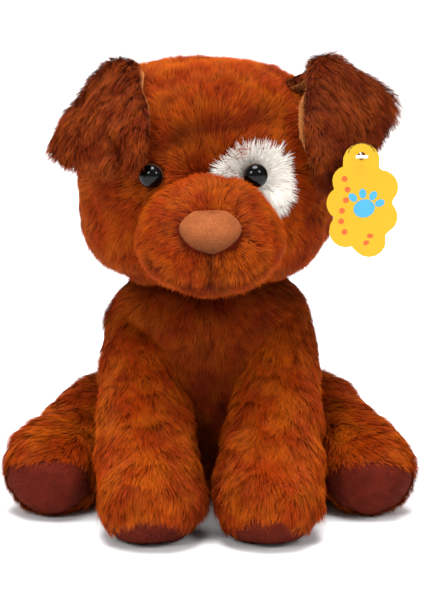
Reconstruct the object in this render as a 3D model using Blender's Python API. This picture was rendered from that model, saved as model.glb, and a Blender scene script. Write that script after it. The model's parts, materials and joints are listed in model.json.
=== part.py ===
"""Sitting plush puppy: sewn skins, loose stuffing, safety eyes, folded ears and a card tag.

Metres, +Z up. The puppy looks along -Y, so its left side is at +X.
The origin is the middle of the flat seat that it sits on.
"""

import math

import bmesh
import bpy
from mathutils import Matrix, Vector

MM = 0.001

# Driving dimensions, in millimetres.
HEAD_CENTRE = (-1.5, -18.0, 175.0)
HEAD_HALF_WIDTH = 66.0
HEAD_HALF_DEPTH = 57.0
HEAD_UPPER = 61.0
HEAD_LOWER = 52.0
DOME_POWER = 2.5
CHEEK_POWER = 3.0

MUZZLE_CENTRE = (0.5, -76.0, 155.0)
MUZZLE_RADII = (34.0, 31.0, 25.5)
NOSE_CENTRE = (0.5, -106.0, 163.0)
NOSE_RADII = (16.5, 8.5, 10.6)

# White patch: centre, half sizes, and how far its lower outer corner is drawn out.
PATCH_CENTRE = (22.0, 184.0)
PATCH_HALF = (17.0, 16.5)
PATCH_CORNER = 0.22
PATCH_SIDES = 20
PATCH_DEPTHS = (-90.0, -40.0)

EYE_PLACES = {"left": (23.0, 186.5), "right": (-29.0, 186.0)}
EYE_RADIUS = 7.0
EYE_HEIGHT = 5.0
SHANK_RADIUS = 2.0
SHANK_LENGTH = 9.0
WASHER_RADIUS = 7.0
WASHER_SLACK = 2.2

NECK_CENTRE = (0.0, -5.0, 138.0)
NECK_RADIUS = 26.5
HEAD_SOCKET_RADIUS = 29.0
TORSO_SOCKET_RADIUS = 27.6

# Torso cross-sections: height, half width, half depth, centre towards the back.
TORSO_SECTIONS = (
    (0.0, 42.0, 36.0, 16.0),
    (5.0, 48.0, 42.0, 15.0),
    (16.0, 54.0, 47.0, 14.0),
    (36.0, 56.0, 50.0, 12.0),
    (60.0, 54.0, 51.0, 7.0),
    (84.0, 50.0, 49.0, 1.0),
    (102.0, 43.0, 43.0, -3.0),
    (112.0, 36.0, 36.0, -5.0),
    (117.0, 30.0, 30.0, -5.0),
)

TORSO_SEGMENTS = 20

# Legs: centre-line points from the sewn joint to the toes, and the radius at each.
FRONT_LEG = ((38.0, -14.0, 97.0, 17.0), (36.0, -40.0, 66.0, 21.5), (29.5, -86.0, 26.3, 26.0))
HIND_LEG = ((57.0, 12.0, 30.0, 28.0), (71.5, -17.0, 27.0, 24.5), (84.0, -47.0, 24.3, 23.5))
LEG_LIFTS = (0.0, -20.0)
FRONT_PAD = {"aim": (0.0, -0.28, -0.96), "radius": 20.0}
HIND_PAD = {"aim": (0.06, -0.94, -0.34), "radius": 18.5}

TAIL = ((0.0, 60.0, 26.0, 7.0), (3.0, 76.0, 31.0, 9.0), (8.0, 90.0, 42.0, 7.0))
TAIL_CLEARANCE = 12.5

SKIN = 2.0
STUFFING_GAP = 2.0
JOINT_GAP = 2.2
LIFT_GAP_STEP = 0.25
PANEL_GAP = 0.35

EAR_THICKNESS = 2.4
LINING_THICKNESS = 1.2
LINING_GAP = 1.0

# Points that each ear's face runs through. Rows go from the sewn root up to the fold and down to the
# free edge; each row runs from the inner edge to the outer one.
RIGHT_EAR_ROWS = (
    ((-42, -37, 229), (-49, -28, 227), (-56, -20, 223), (-62, -12, 214), (-66, -3, 203)),
    ((-38, -38, 238), (-48, -34, 236), (-58, -28, 228), (-69, -15, 212), (-77, -3, 199)),
    ((-38, -46, 239), (-47, -41, 236), (-57, -35, 225), (-69, -22, 211), (-81, -8, 195)),
    ((-36, -59, 231), (-45, -55, 226), (-55, -50, 218), (-66, -41, 207), (-81, -23, 193)),
    ((-32, -70, 221), (-41, -67, 215), (-50, -61, 210), (-62, -53, 201), (-77, -39, 191)),
    ((-31, -77, 209), (-38, -76, 206), (-46, -70, 202), (-56, -60, 194), (-68, -51, 189)),
    ((-33, -80, 197), (-38, -79, 193), (-45, -75, 194), (-51, -68, 190), (-60, -60, 188)),
)
LEFT_EAR_ROWS = (
    ((39, -37, 229), (46, -28, 227), (53, -20, 223), (59, -12, 214), (63, -3, 203)),
    ((48, -38, 234), (58, -29, 233), (67, -22, 228), (74, -13, 219), (79, -5, 210)),
    ((52, -42, 241), (63, -37, 241), (74, -29, 233), (85, -17, 225), (94, -5, 217)),
    ((50, -57, 229), (60, -53, 227), (71, -45, 222), (82, -34, 217), (93, -18, 210)),
    ((49, -68, 216), (58, -64, 214), (69, -56, 210), (78, -46, 207), (89, -31, 202)),
    ((50, -72, 199), (58, -69, 198), (66, -61, 194), (75, -51, 194), (83, -40, 193)),
    ((55, -70, 185), (60, -66, 180), (66, -60, 177), (71, -52, 177), (76, -45, 182)),
)
EAR_ALONG = 14
EAR_ACROSS = 6
EAR_REACH = (0.0, 1.0)
LINING_REACH = (0.42, 0.97)

TAG_HOLE = (76.0, -78.0, 197.6)
TAG_HOLE_RADIUS = 2.0
TAG_THICKNESS = 0.6
FASTENER_RADIUS = 0.5
FASTENER_LENGTH = 44.5

LABEL_SIZE = (0.8, 14.0, 20.0)
LABEL_PLACE = (-16.0, 67.2, 42.0)

PLUSH_BROWN = "#A84E14"
EAR_BROWN = "#6E3116"
LINING_TAN = "#B0713F"
PAD_BROWN = "#5A2418"
NOSE_BROWN = "#A8603F"
PATCH_WHITE = "#F2F0EC"
EYE_BLACK = "#0B0908"
FIBRE_WHITE = "#E6E4DE"
PELLET_CLOTH = "#CFC8BA"
NYLON = "#E8E8E4"
TAG_YELLOW = "#EFC22E"
LABEL_WHITE = "#F4F4F0"


def clear_scene():
    for old in list(bpy.data.objects):
        bpy.data.objects.remove(old, do_unlink=True)


def linear(hex_colour):
    """Turn an sRGB hex colour to the linear values that a shader takes."""
    values = [int(hex_colour[i:i + 2], 16) / 255 for i in (1, 3, 5)]
    return [v / 12.92 if v <= 0.04045 else ((v + 0.055) / 1.055) ** 2.4 for v in values] + [1.0]


def finish(name, hex_colour, roughness):
    material = bpy.data.materials.new(name)
    material.use_nodes = True
    shader = material.node_tree.nodes["Principled BSDF"]
    shader.inputs["Base Color"].default_value = linear(hex_colour)
    shader.inputs["Roughness"].default_value = roughness
    shader.inputs["Metallic"].default_value = 0.0
    material.diffuse_color = linear(hex_colour)
    return material


def pivot(name, place):
    """Make the empty that a moving piece turns about."""
    empty = bpy.data.objects.new(name, None)
    empty.location = Vector(place) * MM
    bpy.context.collection.objects.link(empty)
    return empty


def solid(name, points, faces, look=None, parent=None):
    """Make an object from points in millimetres, with its origin on its parent's joint."""
    origin = parent.location.copy() if parent else Vector((0, 0, 0))
    mesh = bpy.data.meshes.new(name)
    mesh.from_pydata([Vector(p) * MM - origin for p in points], [], faces)
    bm = bmesh.new()
    bm.from_mesh(mesh)
    bmesh.ops.recalc_face_normals(bm, faces=bm.faces)
    bm.to_mesh(mesh)
    bm.free()
    mesh.shade_smooth()
    obj = bpy.data.objects.new(name, mesh)
    bpy.context.collection.objects.link(obj)
    if parent:
        obj.parent = parent
    if look:
        mesh.materials.append(look)
    else:
        obj.hide_render = True
        obj.display_type = "WIRE"
    return obj


def hollow(obj, wall=SKIN):
    """Give a closed or open surface a wall that grows inwards."""
    shell = obj.modifiers.new("wall", "SOLIDIFY")
    shell.thickness = wall * MM
    shell.offset = -1.0
    shell.use_even_offset = True
    return obj


def cut(obj, cutter, operation="DIFFERENCE"):
    boolean = obj.modifiers.new(f"{operation.lower()}_{cutter.name}", "BOOLEAN")
    boolean.operation = operation
    boolean.object = cutter
    boolean.solver = "EXACT"
    return obj


def rings_to_faces(ring_count, segments):
    """Faces of a stack of rings, closed with one flat polygon at each end."""
    faces = [list(range(segments))]
    for ring in range(ring_count - 1):
        for i in range(segments):
            j = (i + 1) % segments
            low = ring * segments
            faces.append([low + i, low + j, low + segments + j, low + segments + i])
    faces.append(list(range((ring_count - 1) * segments, ring_count * segments)))
    return faces


def circle(segments):
    turn = 2 * math.pi / segments
    return [(math.cos(i * turn), math.sin(i * turn)) for i in range(segments)]


def rounded_body(name, centre, radii, look=None, parent=None, lower=None,
                 power_up=2.0, power_down=2.0, segments=14, bands=8):
    """Egg-like body. A power above 2 makes that half boxier, and lower is its lower height."""
    lower = radii[2] if lower is None else lower
    points = []
    for band in range(1, bands):
        angle = math.pi * (band / bands - 0.5)
        power, height = (power_up, radii[2]) if angle > 0 else (power_down, lower)
        rise = math.copysign(abs(math.sin(angle)) ** (2 / power), angle) * height
        girth = math.cos(angle) ** (2 / power)
        points += [
            (centre[0] + radii[0] * girth * c, centre[1] + radii[1] * girth * s, centre[2] + rise)
            for c, s in circle(segments)
        ]
    faces = rings_to_faces(bands - 1, segments)[1:-1]
    bottom = len(points)
    points += [(centre[0], centre[1], centre[2] - lower), (centre[0], centre[1], centre[2] + radii[2])]
    last = (bands - 2) * segments
    for i in range(segments):
        j = (i + 1) % segments
        faces.append([bottom, j, i])
        faces.append([bottom + 1, last + i, last + j])
    return solid(name, points, faces, look, parent)


def head_body(name, inset, look=None, parent=None, segments=20, bands=12):
    radii = (HEAD_HALF_WIDTH - inset, HEAD_HALF_DEPTH - inset, HEAD_UPPER - inset)
    return rounded_body(name, HEAD_CENTRE, radii, look, parent, HEAD_LOWER - inset,
                        DOME_POWER, CHEEK_POWER, segments, bands)


def face_point(x, z):
    """The point of the head's front surface at x and z, and the way that it faces."""
    def depth(px, pz):
        power, height = (DOME_POWER, HEAD_UPPER) if pz > HEAD_CENTRE[2] else (CHEEK_POWER, HEAD_LOWER)
        girth = (1 - abs((pz - HEAD_CENTRE[2]) / height) ** power) ** (1 / power)
        side = (px - HEAD_CENTRE[0]) / (HEAD_HALF_WIDTH * girth)
        return HEAD_CENTRE[1] - HEAD_HALF_DEPTH * girth * math.sqrt(1 - side * side)

    here = depth(x, z)
    facing = Vector((depth(x + 1, z) - here, -1.0, depth(x, z + 1) - here)).normalized()
    return Vector((x, here, z)), facing


def rod(name, start, end, radius, look=None, parent=None, segments=12):
    """Cylinder between two points."""
    start = Vector(start)
    along = Vector(end) - start
    turn = Vector((0, 0, 1)).rotation_difference(along)
    points = []
    for height in (0.0, along.length):
        points += [start + turn @ Vector((radius * c, radius * s, height)) for c, s in circle(segments)]
    return solid(name, points, rings_to_faces(2, segments), look, parent)


def blend(knots, t):
    """Value on a smooth curve between the second and third of four knots, for t from 0 to 1."""
    p, q, r, s = knots
    return 0.5 * (2 * q + (r - p) * t + (2 * p - 5 * q + 4 * r - s) * t * t
                  + (3 * q - p - 3 * r + s) * t ** 3)


def smooth_line(stations, count):
    """Points of a smooth curve through the stations; each also carries its radius."""
    ends = [[2 * a - b for a, b in zip(stations[0], stations[1])]]
    tail = [[2 * a - b for a, b in zip(stations[-1], stations[-2])]]
    knots = ends + [list(s) for s in stations] + tail
    line = []
    for step in range(count):
        at = step / (count - 1) * (len(stations) - 1)
        first = min(int(at), len(stations) - 2)
        t = at - first
        a, b, c, d = knots[first:first + 4]
        line.append([blend(knot, t) for knot in zip(a, b, c, d)])
    return line


def limb(name, stations, grow=0.0, side=1, lift=0.0, look=None, parent=None,
         segments=14, bands=5, cap_bands=3):
    """Tube with round ends along smooth stations, turned by lift degrees about its first station."""
    line = smooth_line([(side * s[0], s[1], s[2], s[3] + grow) for s in stations], bands)
    centres = [Vector(p[:3]) for p in line]
    spans = []
    for i, centre in enumerate(centres):
        before = centres[max(i - 1, 0)]
        after = centres[min(i + 1, bands - 1)]
        spans.append((after - before).normalized())
    rows = []
    for k in range(1, cap_bands + 1):
        angle = math.pi / 2 * k / cap_bands
        rows.append((centres[0] - spans[0] * line[0][3] * math.cos(angle), spans[0],
                     line[0][3] * math.sin(angle)))
    rows += [(centres[i], spans[i], line[i][3]) for i in range(1, bands - 1)]
    for k in range(cap_bands, 0, -1):
        angle = math.pi / 2 * k / cap_bands
        rows.append((centres[-1] + spans[-1] * line[-1][3] * math.cos(angle), spans[-1],
                     line[-1][3] * math.sin(angle)))
    points = []
    for centre, along, radius in rows:
        across = along.cross(Vector((1, 0, 0))).normalized()
        aside = across.cross(along)
        points += [centre + aside * (radius * c) + across * (radius * s) for c, s in circle(segments)]
    faces = rings_to_faces(len(rows), segments)[1:-1]
    tips = len(points)
    points += [centres[0] - spans[0] * line[0][3], centres[-1] + spans[-1] * line[-1][3]]
    last = (len(rows) - 1) * segments
    for i in range(segments):
        j = (i + 1) % segments
        faces.append([tips, j, i])
        faces.append([tips + 1, last + i, last + j])
    turn = Matrix.Rotation(math.radians(lift), 3, "X")
    points = [centres[0] + turn @ (p - centres[0]) for p in points]
    return solid(name, points, faces, look, parent)


def make_torso(plush, fibre, cloth, clearances):
    """Skin, stuffing and pellet bag of the seated trunk."""
    def trunk(name, inset, look):
        top = TORSO_SECTIONS[-1][0]
        points = []
        for height, width, depth, back in TORSO_SECTIONS:
            level = inset + height * (top - 2 * inset) / top
            points += [((width - inset) * c, back + (depth - inset) * s, level)
                       for c, s in circle(TORSO_SEGMENTS)]
        return solid(name, points, rings_to_faces(len(TORSO_SECTIONS), TORSO_SEGMENTS), look)

    skin = hollow(trunk("torso_skin", 0.0, plush))
    filling = trunk("torso_stuffing", SKIN + STUFFING_GAP, fibre)
    for cutter in clearances:
        cut(skin, cutter)
        cut(filling, cutter)
    bag_space = rounded_body("pellet_bag_space", (0, 18, 0), (28, 24, 25), segments=14, bands=8)
    cut(filling, bag_space)
    rounded_body("pellet_bag", (0, 18, 10.2), (22, 18, 7.0), cloth, segments=12, bands=6)


def make_head(looks, turning, nodding):
    """Head skin and filling, neck filling, muzzle, nose and the white eye patch."""
    rounded_body("neck_stuffing", NECK_CENTRE, (NECK_RADIUS,) * 3, looks["fibre"], turning)
    socket = rounded_body("head_socket_space", NECK_CENTRE, (HEAD_SOCKET_RADIUS,) * 3)
    skin = hollow(head_body("head_skin", 0.0, looks["plush"], nodding))
    cut(skin, socket)
    filling = head_body("head_stuffing", SKIN + STUFFING_GAP, looks["fibre"], nodding, 16, 8)
    cut(filling, socket)

    outline = patch_outline("eye_patch_outline", 0.0)
    opening = patch_outline("eye_patch_opening", PANEL_GAP)
    patch = hollow(head_body("eye_patch", 0.0, looks["white"], nodding))
    cut(patch, outline, "INTERSECT")
    cut(skin, opening)

    face = head_body("face_clearance", -PANEL_GAP)
    muzzle = hollow(rounded_body("muzzle_skin", MUZZLE_CENTRE, MUZZLE_RADII, looks["plush"], nodding,
                                 segments=16, bands=8))
    cut(muzzle, face)
    inner = [r - SKIN - STUFFING_GAP for r in MUZZLE_RADII]
    cut(rounded_body("muzzle_stuffing", MUZZLE_CENTRE, inner, looks["fibre"], nodding,
                     segments=12, bands=6), face)
    snout = rounded_body("snout_clearance", MUZZLE_CENTRE, [r + PANEL_GAP for r in MUZZLE_RADII],
                         segments=16, bands=8)
    cut(rounded_body("nose", NOSE_CENTRE, NOSE_RADII, looks["velour"], nodding,
                     segments=16, bands=8), snout)
    for side in ("left", "right"):
        make_eye(side, looks, nodding, skin, patch, filling)


def patch_outline(name, grow):
    """Front-facing block with the white patch's outline, a broad oval with a lower outer corner."""
    points = []
    for depth in PATCH_DEPTHS:
        for c, s in circle(PATCH_SIDES):
            stretch = 1 + PATCH_CORNER * max(0.0, (c - s) / math.sqrt(2)) ** 6
            points.append((PATCH_CENTRE[0] + (PATCH_HALF[0] + grow) * stretch * c, depth,
                           PATCH_CENTRE[1] + (PATCH_HALF[1] + grow) * stretch * s))
    return solid(name, points, rings_to_faces(2, PATCH_SIDES))


def make_eye(side, looks, nodding, skin, patch, filling):
    """Domed safety eye, its shank through the skin and the washer that locks it inside."""
    place, facing = face_point(*EYE_PLACES[side])
    turn = Vector((0, 0, 1)).rotation_difference(facing)
    profile = [(SHANK_RADIUS, -SHANK_LENGTH), (SHANK_RADIUS, PANEL_GAP), (EYE_RADIUS, PANEL_GAP),
               (EYE_RADIUS, PANEL_GAP + 0.8)]
    for k in range(1, 4):
        angle = math.pi / 2 * k / 4
        profile.append((EYE_RADIUS * math.cos(angle), PANEL_GAP + 0.8 + (EYE_HEIGHT - 0.8) * math.sin(angle)))
    points = []
    for radius, height in profile:
        points += [place + turn @ Vector((radius * c, radius * s, height)) for c, s in circle(16)]
    solid(f"eye_{side}", points, rings_to_faces(len(profile), 16), looks["eye"], nodding)

    hole = rod(f"shank_hole_{side}", place + facing * 4, place - facing * 6, SHANK_RADIUS + 0.6)
    cut(skin, hole)
    if side == "left":
        cut(patch, hole)
    pocket = rod(f"washer_pocket_{side}", place, place - facing * (SHANK_LENGTH + 2), WASHER_RADIUS + 1.5)
    cut(filling, pocket)
    front = place - facing * (SKIN + WASHER_SLACK)
    washer = rod(f"eye_washer_{side}", front, front - facing * 1.6, WASHER_RADIUS, looks["nylon"], nodding, 16)
    cut(washer, rod(f"washer_bore_{side}", front + facing, front - facing * 3, SHANK_RADIUS + 0.3))


def curve_value(points, t):
    """Point of a smooth curve that runs through all its points, for t from 0 to 1."""
    points = [Vector(p) for p in points]
    knots = [2 * points[0] - points[1], *points, 2 * points[-1] - points[-2]]
    place = t * (len(points) - 1)
    first = min(int(place), len(points) - 2)
    return blend(knots[first:first + 4], place - first)


def ear_sheet(name, ear_rows, inset, reach, thickness, look, parent):
    """One leaf of an ear, inset behind the outer face, over part of the way from root to free edge."""
    def place(u, v):
        return curve_value([curve_value(row, u) for row in ear_rows], v)

    def facing(u, v):
        step = 0.01
        across = place(min(u + step, 1), v) - place(max(u - step, 0), v)
        along = place(u, min(v + step, 1)) - place(u, max(v - step, 0))
        return across.cross(along).normalized()

    outwards = 1 if facing(0.5, 0.8).y < 0 else -1
    points = []
    for layer in (inset, inset + thickness):
        for i in range(EAR_ALONG + 1):
            for j in range(EAR_ACROSS + 1):
                v = reach[0] + (reach[1] - reach[0]) * i / EAR_ALONG
                u = j / EAR_ACROSS
                points.append(place(u, v) - facing(u, v) * outwards * layer)
    row = EAR_ACROSS + 1
    sheet = row * (EAR_ALONG + 1)
    faces = []
    for i in range(EAR_ALONG):
        for j in range(EAR_ACROSS):
            a = i * row + j
            faces.append([a, a + 1, a + row + 1, a + row])
            faces.append([sheet + a, sheet + a + row, sheet + a + row + 1, sheet + a + 1])
    edge = [j for j in range(row)]
    edge += [i * row + row - 1 for i in range(1, EAR_ALONG + 1)]
    edge += [EAR_ALONG * row + j for j in range(row - 2, -1, -1)]
    edge += [i * row for i in range(EAR_ALONG - 1, 0, -1)]
    for k, a in enumerate(edge):
        b = edge[(k + 1) % len(edge)]
        faces.append([a, b, sheet + b, sheet + a])
    return solid(name, points, faces, look, parent)


def make_ears(looks, hinges):
    """Two folded ears; each has a plush outer leaf and a tan inner leaf."""
    leaves = {}
    for side, ear_rows in (("left", LEFT_EAR_ROWS), ("right", RIGHT_EAR_ROWS)):
        outer = ear_sheet(f"ear_{side}", ear_rows, 0.0, EAR_REACH, EAR_THICKNESS, looks["ear"], hinges[side])
        inner = ear_sheet(f"ear_lining_{side}", ear_rows, EAR_THICKNESS + LINING_GAP, LINING_REACH,
                          LINING_THICKNESS, looks["lining"], hinges[side])
        leaves[side] = (outer, inner)
    return leaves


def make_front_legs(looks, hinges):
    for side, sign in (("left", 1), ("right", -1)):
        make_leg(f"front_leg_{side}", f"front_paw_pad_{side}", FRONT_LEG, FRONT_PAD, sign,
                 looks, hinges[side])


def make_hind_legs(looks, hinges):
    for side, sign in (("left", 1), ("right", -1)):
        make_leg(f"hind_leg_{side}", f"hind_paw_pad_{side}", HIND_LEG, HIND_PAD, sign,
                 looks, hinges[side])


def make_leg(name, pad_name, stations, pad, sign, looks, parent):
    """Leg skin with its opening at the sewn joint, its stuffing and its velour sole pad."""
    x, y, z, radius = stations[0]
    mouth = rod(f"{name}_mouth", (sign * (x - radius - 2), y, z), (sign * (x - radius + 6), y, z), 8.0)
    toe = stations[-1]
    aim = Vector((sign * pad["aim"][0], pad["aim"][1], pad["aim"][2])).normalized()
    paw = Vector((sign * toe[0], toe[1], toe[2]))
    reach = paw + aim * (toe[3] + 6)
    root = paw + aim * 8
    sole = rod(f"{name}_sole", root, reach, pad["radius"], segments=18)
    opening = rod(f"{name}_sole_opening", root, reach, pad["radius"] + PANEL_GAP, segments=18)

    skin = hollow(limb(f"{name}_skin", stations, 0.0, sign, 0.0, looks["plush"], parent))
    cut(skin, mouth)
    cut(skin, opening)
    panel = hollow(limb(pad_name, stations, 0.0, sign, 0.0, looks["pad"], parent))
    cut(panel, sole, "INTERSECT")
    limb(f"{name}_stuffing", stations, -SKIN - STUFFING_GAP, sign, 0.0, looks["fibre"], parent,
         10, 4, 2)


def make_tail(looks, hinge):
    skin = hollow(limb("tail_skin", TAIL, 0.0, 1, 0.0, looks["plush"], hinge, 10, 4, 2), 1.5)
    mouth = rod("tail_mouth", (0, TAIL[0][1] - 12, TAIL[0][2]), (0, TAIL[0][1] - 4, TAIL[0][2]), 4.0)
    cut(skin, mouth)
    limb("tail_stuffing", TAIL, -2.5, 1, 0.0, looks["fibre"], hinge, 8, 4, 2)


def tag_outline(name, look, parent):
    """Cloud-shaped card: lobes round an oval, with a smaller lobe that holds the hole."""
    lobes = ((0.0, -3.0, 9.4), (9.8, -16.0, 8.8), (10.2, -31.0, 8.4), (4.5, -43.0, 8.6),
             (-7.2, -38.0, 8.6), (-8.6, -24.0, 8.6), (-7.0, -12.5, 7.4), (1.2, -24.0, 14.5))
    centre = Vector((1.2, -22.0))
    points = []
    count = 56
    for c, s in circle(count):
        ray = Vector((c, s))
        reach = 0.0
        for x, z, radius in lobes:
            offset = Vector((x, z)) - centre
            along = offset.dot(ray)
            inside = radius ** 2 - (offset.length_squared - along * along)
            if inside > 0:
                reach = max(reach, along + math.sqrt(inside))
        points.append(centre + ray * reach)
    solid_points = [(TAG_HOLE[0] + p.x, TAG_HOLE[1] - depth, TAG_HOLE[2] + p.y)
                    for depth in (0.0, TAG_THICKNESS) for p in points]
    return solid(name, solid_points, rings_to_faces(2, count), look, parent)


def make_tag(looks, leaves, ear_hinge, tag_hinge):
    """Card tag hung on a plastic T-bar that passes through both leaves of the left ear."""
    x, y, z = TAG_HOLE
    card = tag_outline("hang_tag", looks["card"], tag_hinge)
    front = y - TAG_THICKNESS - 2.5
    stem_end = y + FASTENER_LENGTH
    for piece, radius in ((card, TAG_HOLE_RADIUS), (leaves[0], 1.1), (leaves[1], 1.1)):
        cut(piece, rod(f"{piece.name}_pierced", (x, front - 5, z), (x, stem_end + 1.5, z), radius))
    stem = rod("tag_fastener", (x, front, z), (x, stem_end, z), FASTENER_RADIUS, looks["nylon"], ear_hinge, 8)
    cut(stem, rod("fastener_head", (x - 3.0, front, z), (x + 3.0, front, z), 0.8, segments=8), "UNION")
    cut(stem, rod("fastener_barb", (x - 3.5, stem_end, z), (x + 3.5, stem_end, z), 0.8, segments=8), "UNION")


def make_label(look):
    """Blank folded care label in the back seam."""
    w, d, h = LABEL_SIZE
    x, y, z = LABEL_PLACE
    points = [(x + sx * w / 2, y + sy * d / 2, z + sz * h / 2)
              for sz in (-1, 1) for sx, sy in ((-1, -1), (1, -1), (1, 1), (-1, 1))]
    solid("care_label", points, rings_to_faces(2, 4), look)


def leg_clearances(name, stations):
    """Space that both legs sweep, as cutters for the trunk."""
    cutters = []
    for sign in (-1, 1):
        for step, lift in enumerate(LEG_LIFTS):
            gap = JOINT_GAP - LIFT_GAP_STEP * step
            cutters.append(limb(f"{name}_clearance_{sign}_{-lift:.0f}", stations, gap, sign, lift,
                                segments=12, bands=4, cap_bands=3))
    return cutters


def make_looks():
    return {
        "plush": finish("brown_plush", PLUSH_BROWN, 0.9),
        "ear": finish("dark_plush", EAR_BROWN, 0.9),
        "lining": finish("tan_lining", LINING_TAN, 0.8),
        "pad": finish("sole_velour", PAD_BROWN, 0.75),
        "velour": finish("nose_velour", NOSE_BROWN, 0.75),
        "white": finish("white_plush", PATCH_WHITE, 0.9),
        "eye": finish("eye_plastic", EYE_BLACK, 0.08),
        "fibre": finish("polyester_fibre", FIBRE_WHITE, 0.95),
        "cloth": finish("pellet_cloth", PELLET_CLOTH, 0.9),
        "nylon": finish("nylon", NYLON, 0.35),
        "card": finish("printed_card", TAG_YELLOW, 0.3),
        "label": finish("satin_label", LABEL_WHITE, 0.5),
    }


def main():
    clear_scene()
    looks = make_looks()
    neck_turn = pivot("neck_turn", NECK_CENTRE)
    head_nod = pivot("head_nod", NECK_CENTRE)
    ear_hinges = {side: pivot(f"ear_{side}_hinge", ear_rows[0][2])
                  for side, ear_rows in (("left", LEFT_EAR_ROWS), ("right", RIGHT_EAR_ROWS))}
    front_hinges = {side: pivot(f"front_leg_{side}_hinge", (sign * FRONT_LEG[0][0], *FRONT_LEG[0][1:3]))
                    for side, sign in (("left", 1), ("right", -1))}
    hind_hinges = {side: pivot(f"hind_leg_{side}_hinge", (sign * HIND_LEG[0][0], *HIND_LEG[0][1:3]))
                   for side, sign in (("left", 1), ("right", -1))}
    tail_hinge = pivot("tail_hinge", TAIL[0][:3])
    tag_hinge = pivot("tag_hinge", TAG_HOLE)

    make_head(looks, neck_turn, head_nod)
    leaves = make_ears(looks, ear_hinges)
    make_front_legs(looks, front_hinges)
    make_hind_legs(looks, hind_hinges)
    make_tail(looks, tail_hinge)
    make_tag(looks, leaves["left"], ear_hinges["left"], tag_hinge)
    make_label(looks["label"])

    clearances = leg_clearances("front_leg", FRONT_LEG) + leg_clearances("hind_leg", HIND_LEG)
    clearances.append(rounded_body("neck_clearance", NECK_CENTRE, (TORSO_SOCKET_RADIUS,) * 3))
    clearances.append(rounded_body("tail_clearance", TAIL[0][:3], (TAIL_CLEARANCE,) * 3,
                                   segments=12, bands=6))
    make_torso(looks["plush"], looks["fibre"], looks["cloth"], clearances)


main()
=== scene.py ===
"""Looks of a sitting plush puppy.

Sewn skins with a combed pile, velour nose and soles, glossy eyes and a card tag.
"""

import json
import math

import bmesh
import bpy
import numpy as np
from bpy.props import FloatProperty, FloatVectorProperty, IntProperty, PointerProperty
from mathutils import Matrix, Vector, noise

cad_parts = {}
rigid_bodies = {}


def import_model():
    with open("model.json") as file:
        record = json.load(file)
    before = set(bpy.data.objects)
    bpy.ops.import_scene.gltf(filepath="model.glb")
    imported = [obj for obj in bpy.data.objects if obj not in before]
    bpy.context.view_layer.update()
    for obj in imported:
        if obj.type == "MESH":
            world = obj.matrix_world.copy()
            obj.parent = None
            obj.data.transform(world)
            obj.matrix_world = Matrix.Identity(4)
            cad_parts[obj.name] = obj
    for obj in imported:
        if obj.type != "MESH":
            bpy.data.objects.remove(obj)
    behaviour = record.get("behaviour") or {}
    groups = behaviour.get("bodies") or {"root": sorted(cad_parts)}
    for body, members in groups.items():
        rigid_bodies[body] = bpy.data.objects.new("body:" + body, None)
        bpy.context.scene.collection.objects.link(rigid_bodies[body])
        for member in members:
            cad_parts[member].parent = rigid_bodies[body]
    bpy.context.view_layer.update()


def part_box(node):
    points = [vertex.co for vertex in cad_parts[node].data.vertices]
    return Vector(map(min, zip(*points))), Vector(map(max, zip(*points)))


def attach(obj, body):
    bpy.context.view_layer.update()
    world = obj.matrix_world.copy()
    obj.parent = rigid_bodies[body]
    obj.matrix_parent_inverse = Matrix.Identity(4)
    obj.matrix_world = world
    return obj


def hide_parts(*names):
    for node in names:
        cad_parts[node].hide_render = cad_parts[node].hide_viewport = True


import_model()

bl_info = {
    "name": "Plush Puppy",
    "version": (1, 0, 0),
    "blender": (4, 5, 0),
    "location": "View3D > Sidebar > Puppy",
    "description": "Makes the skins, pile, face, ears, paws and tag of a sitting plush puppy",
    "category": "Add Mesh",
}

MM = 0.001
DOWN = np.array([0.0, 0.0, -1.0])


# ---------------------------------------------------------------- sizes, from the frame and a few of its own

def box_mm(node):
    low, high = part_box(node)
    return np.array(low) / MM, np.array(high) / MM


def middle(node):
    low, high = box_mm(node)
    return (low + high) / 2


HEAD_LOW, HEAD_HIGH = box_mm("head_skin")
HEAD_CENTRE = np.array([middle("head_skin")[0], middle("head_skin")[1], 175.0])
HEAD_HALF = np.array([*((HEAD_HIGH - HEAD_LOW)[:2] / 2), HEAD_HIGH[2] - 175.0])
HEAD_LOWER = 52.0
DOME_POWER = 2.5
CHEEK_POWER = 3.0
MUZZLE_LOW, MUZZLE_HIGH = box_mm("muzzle_skin")
MUZZLE_HALF = np.array([(MUZZLE_HIGH - MUZZLE_LOW)[0] / 2, 31.0, (MUZZLE_HIGH - MUZZLE_LOW)[2] / 2])
MUZZLE_CENTRE = np.array([middle("muzzle_skin")[0], MUZZLE_LOW[1] + 31.0, middle("muzzle_skin")[2]])
NOSE_CENTRE = middle("nose")
EYES = {side: middle(f"eye_{side}") for side in ("left", "right")}
TAG_LOW, TAG_HIGH = box_mm("hang_tag")
TAG_HOLE = np.array([middle("tag_fastener")[0], TAG_LOW[1], middle("tag_fastener")[2]])

# Trunk cross-sections: height, half width, half depth, centre towards the back.
TORSO_SECTIONS = np.array([
    (0.6, 41.0, 35.0, 16.0), (5.0, 48.0, 42.0, 15.0), (16.0, 54.0, 47.0, 14.0), (36.0, 56.0, 50.0, 12.0),
    (60.0, 54.0, 51.0, 7.0), (84.0, 51.0, 49.0, 1.0), (102.0, 47.0, 44.0, -3.0), (114.0, 41.0, 39.0, -5.0),
    (125.0, 32.0, 32.0, -5.0),
])
# Leg centre lines from the sewn joint to the toes, with the radius at each point.
FRONT_LEG = np.array([(38.0, -13.0, 96.0, 16.5), (36.0, -41.0, 66.0, 21.5), (30.0, -89.0, 22.6, 27.0)])
HIND_LEG = np.array([(57.0, 12.0, 31.0, 29.0), (71.0, -18.0, 27.5, 25.0), (84.0, -48.0, 24.5, 24.0)])
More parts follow.
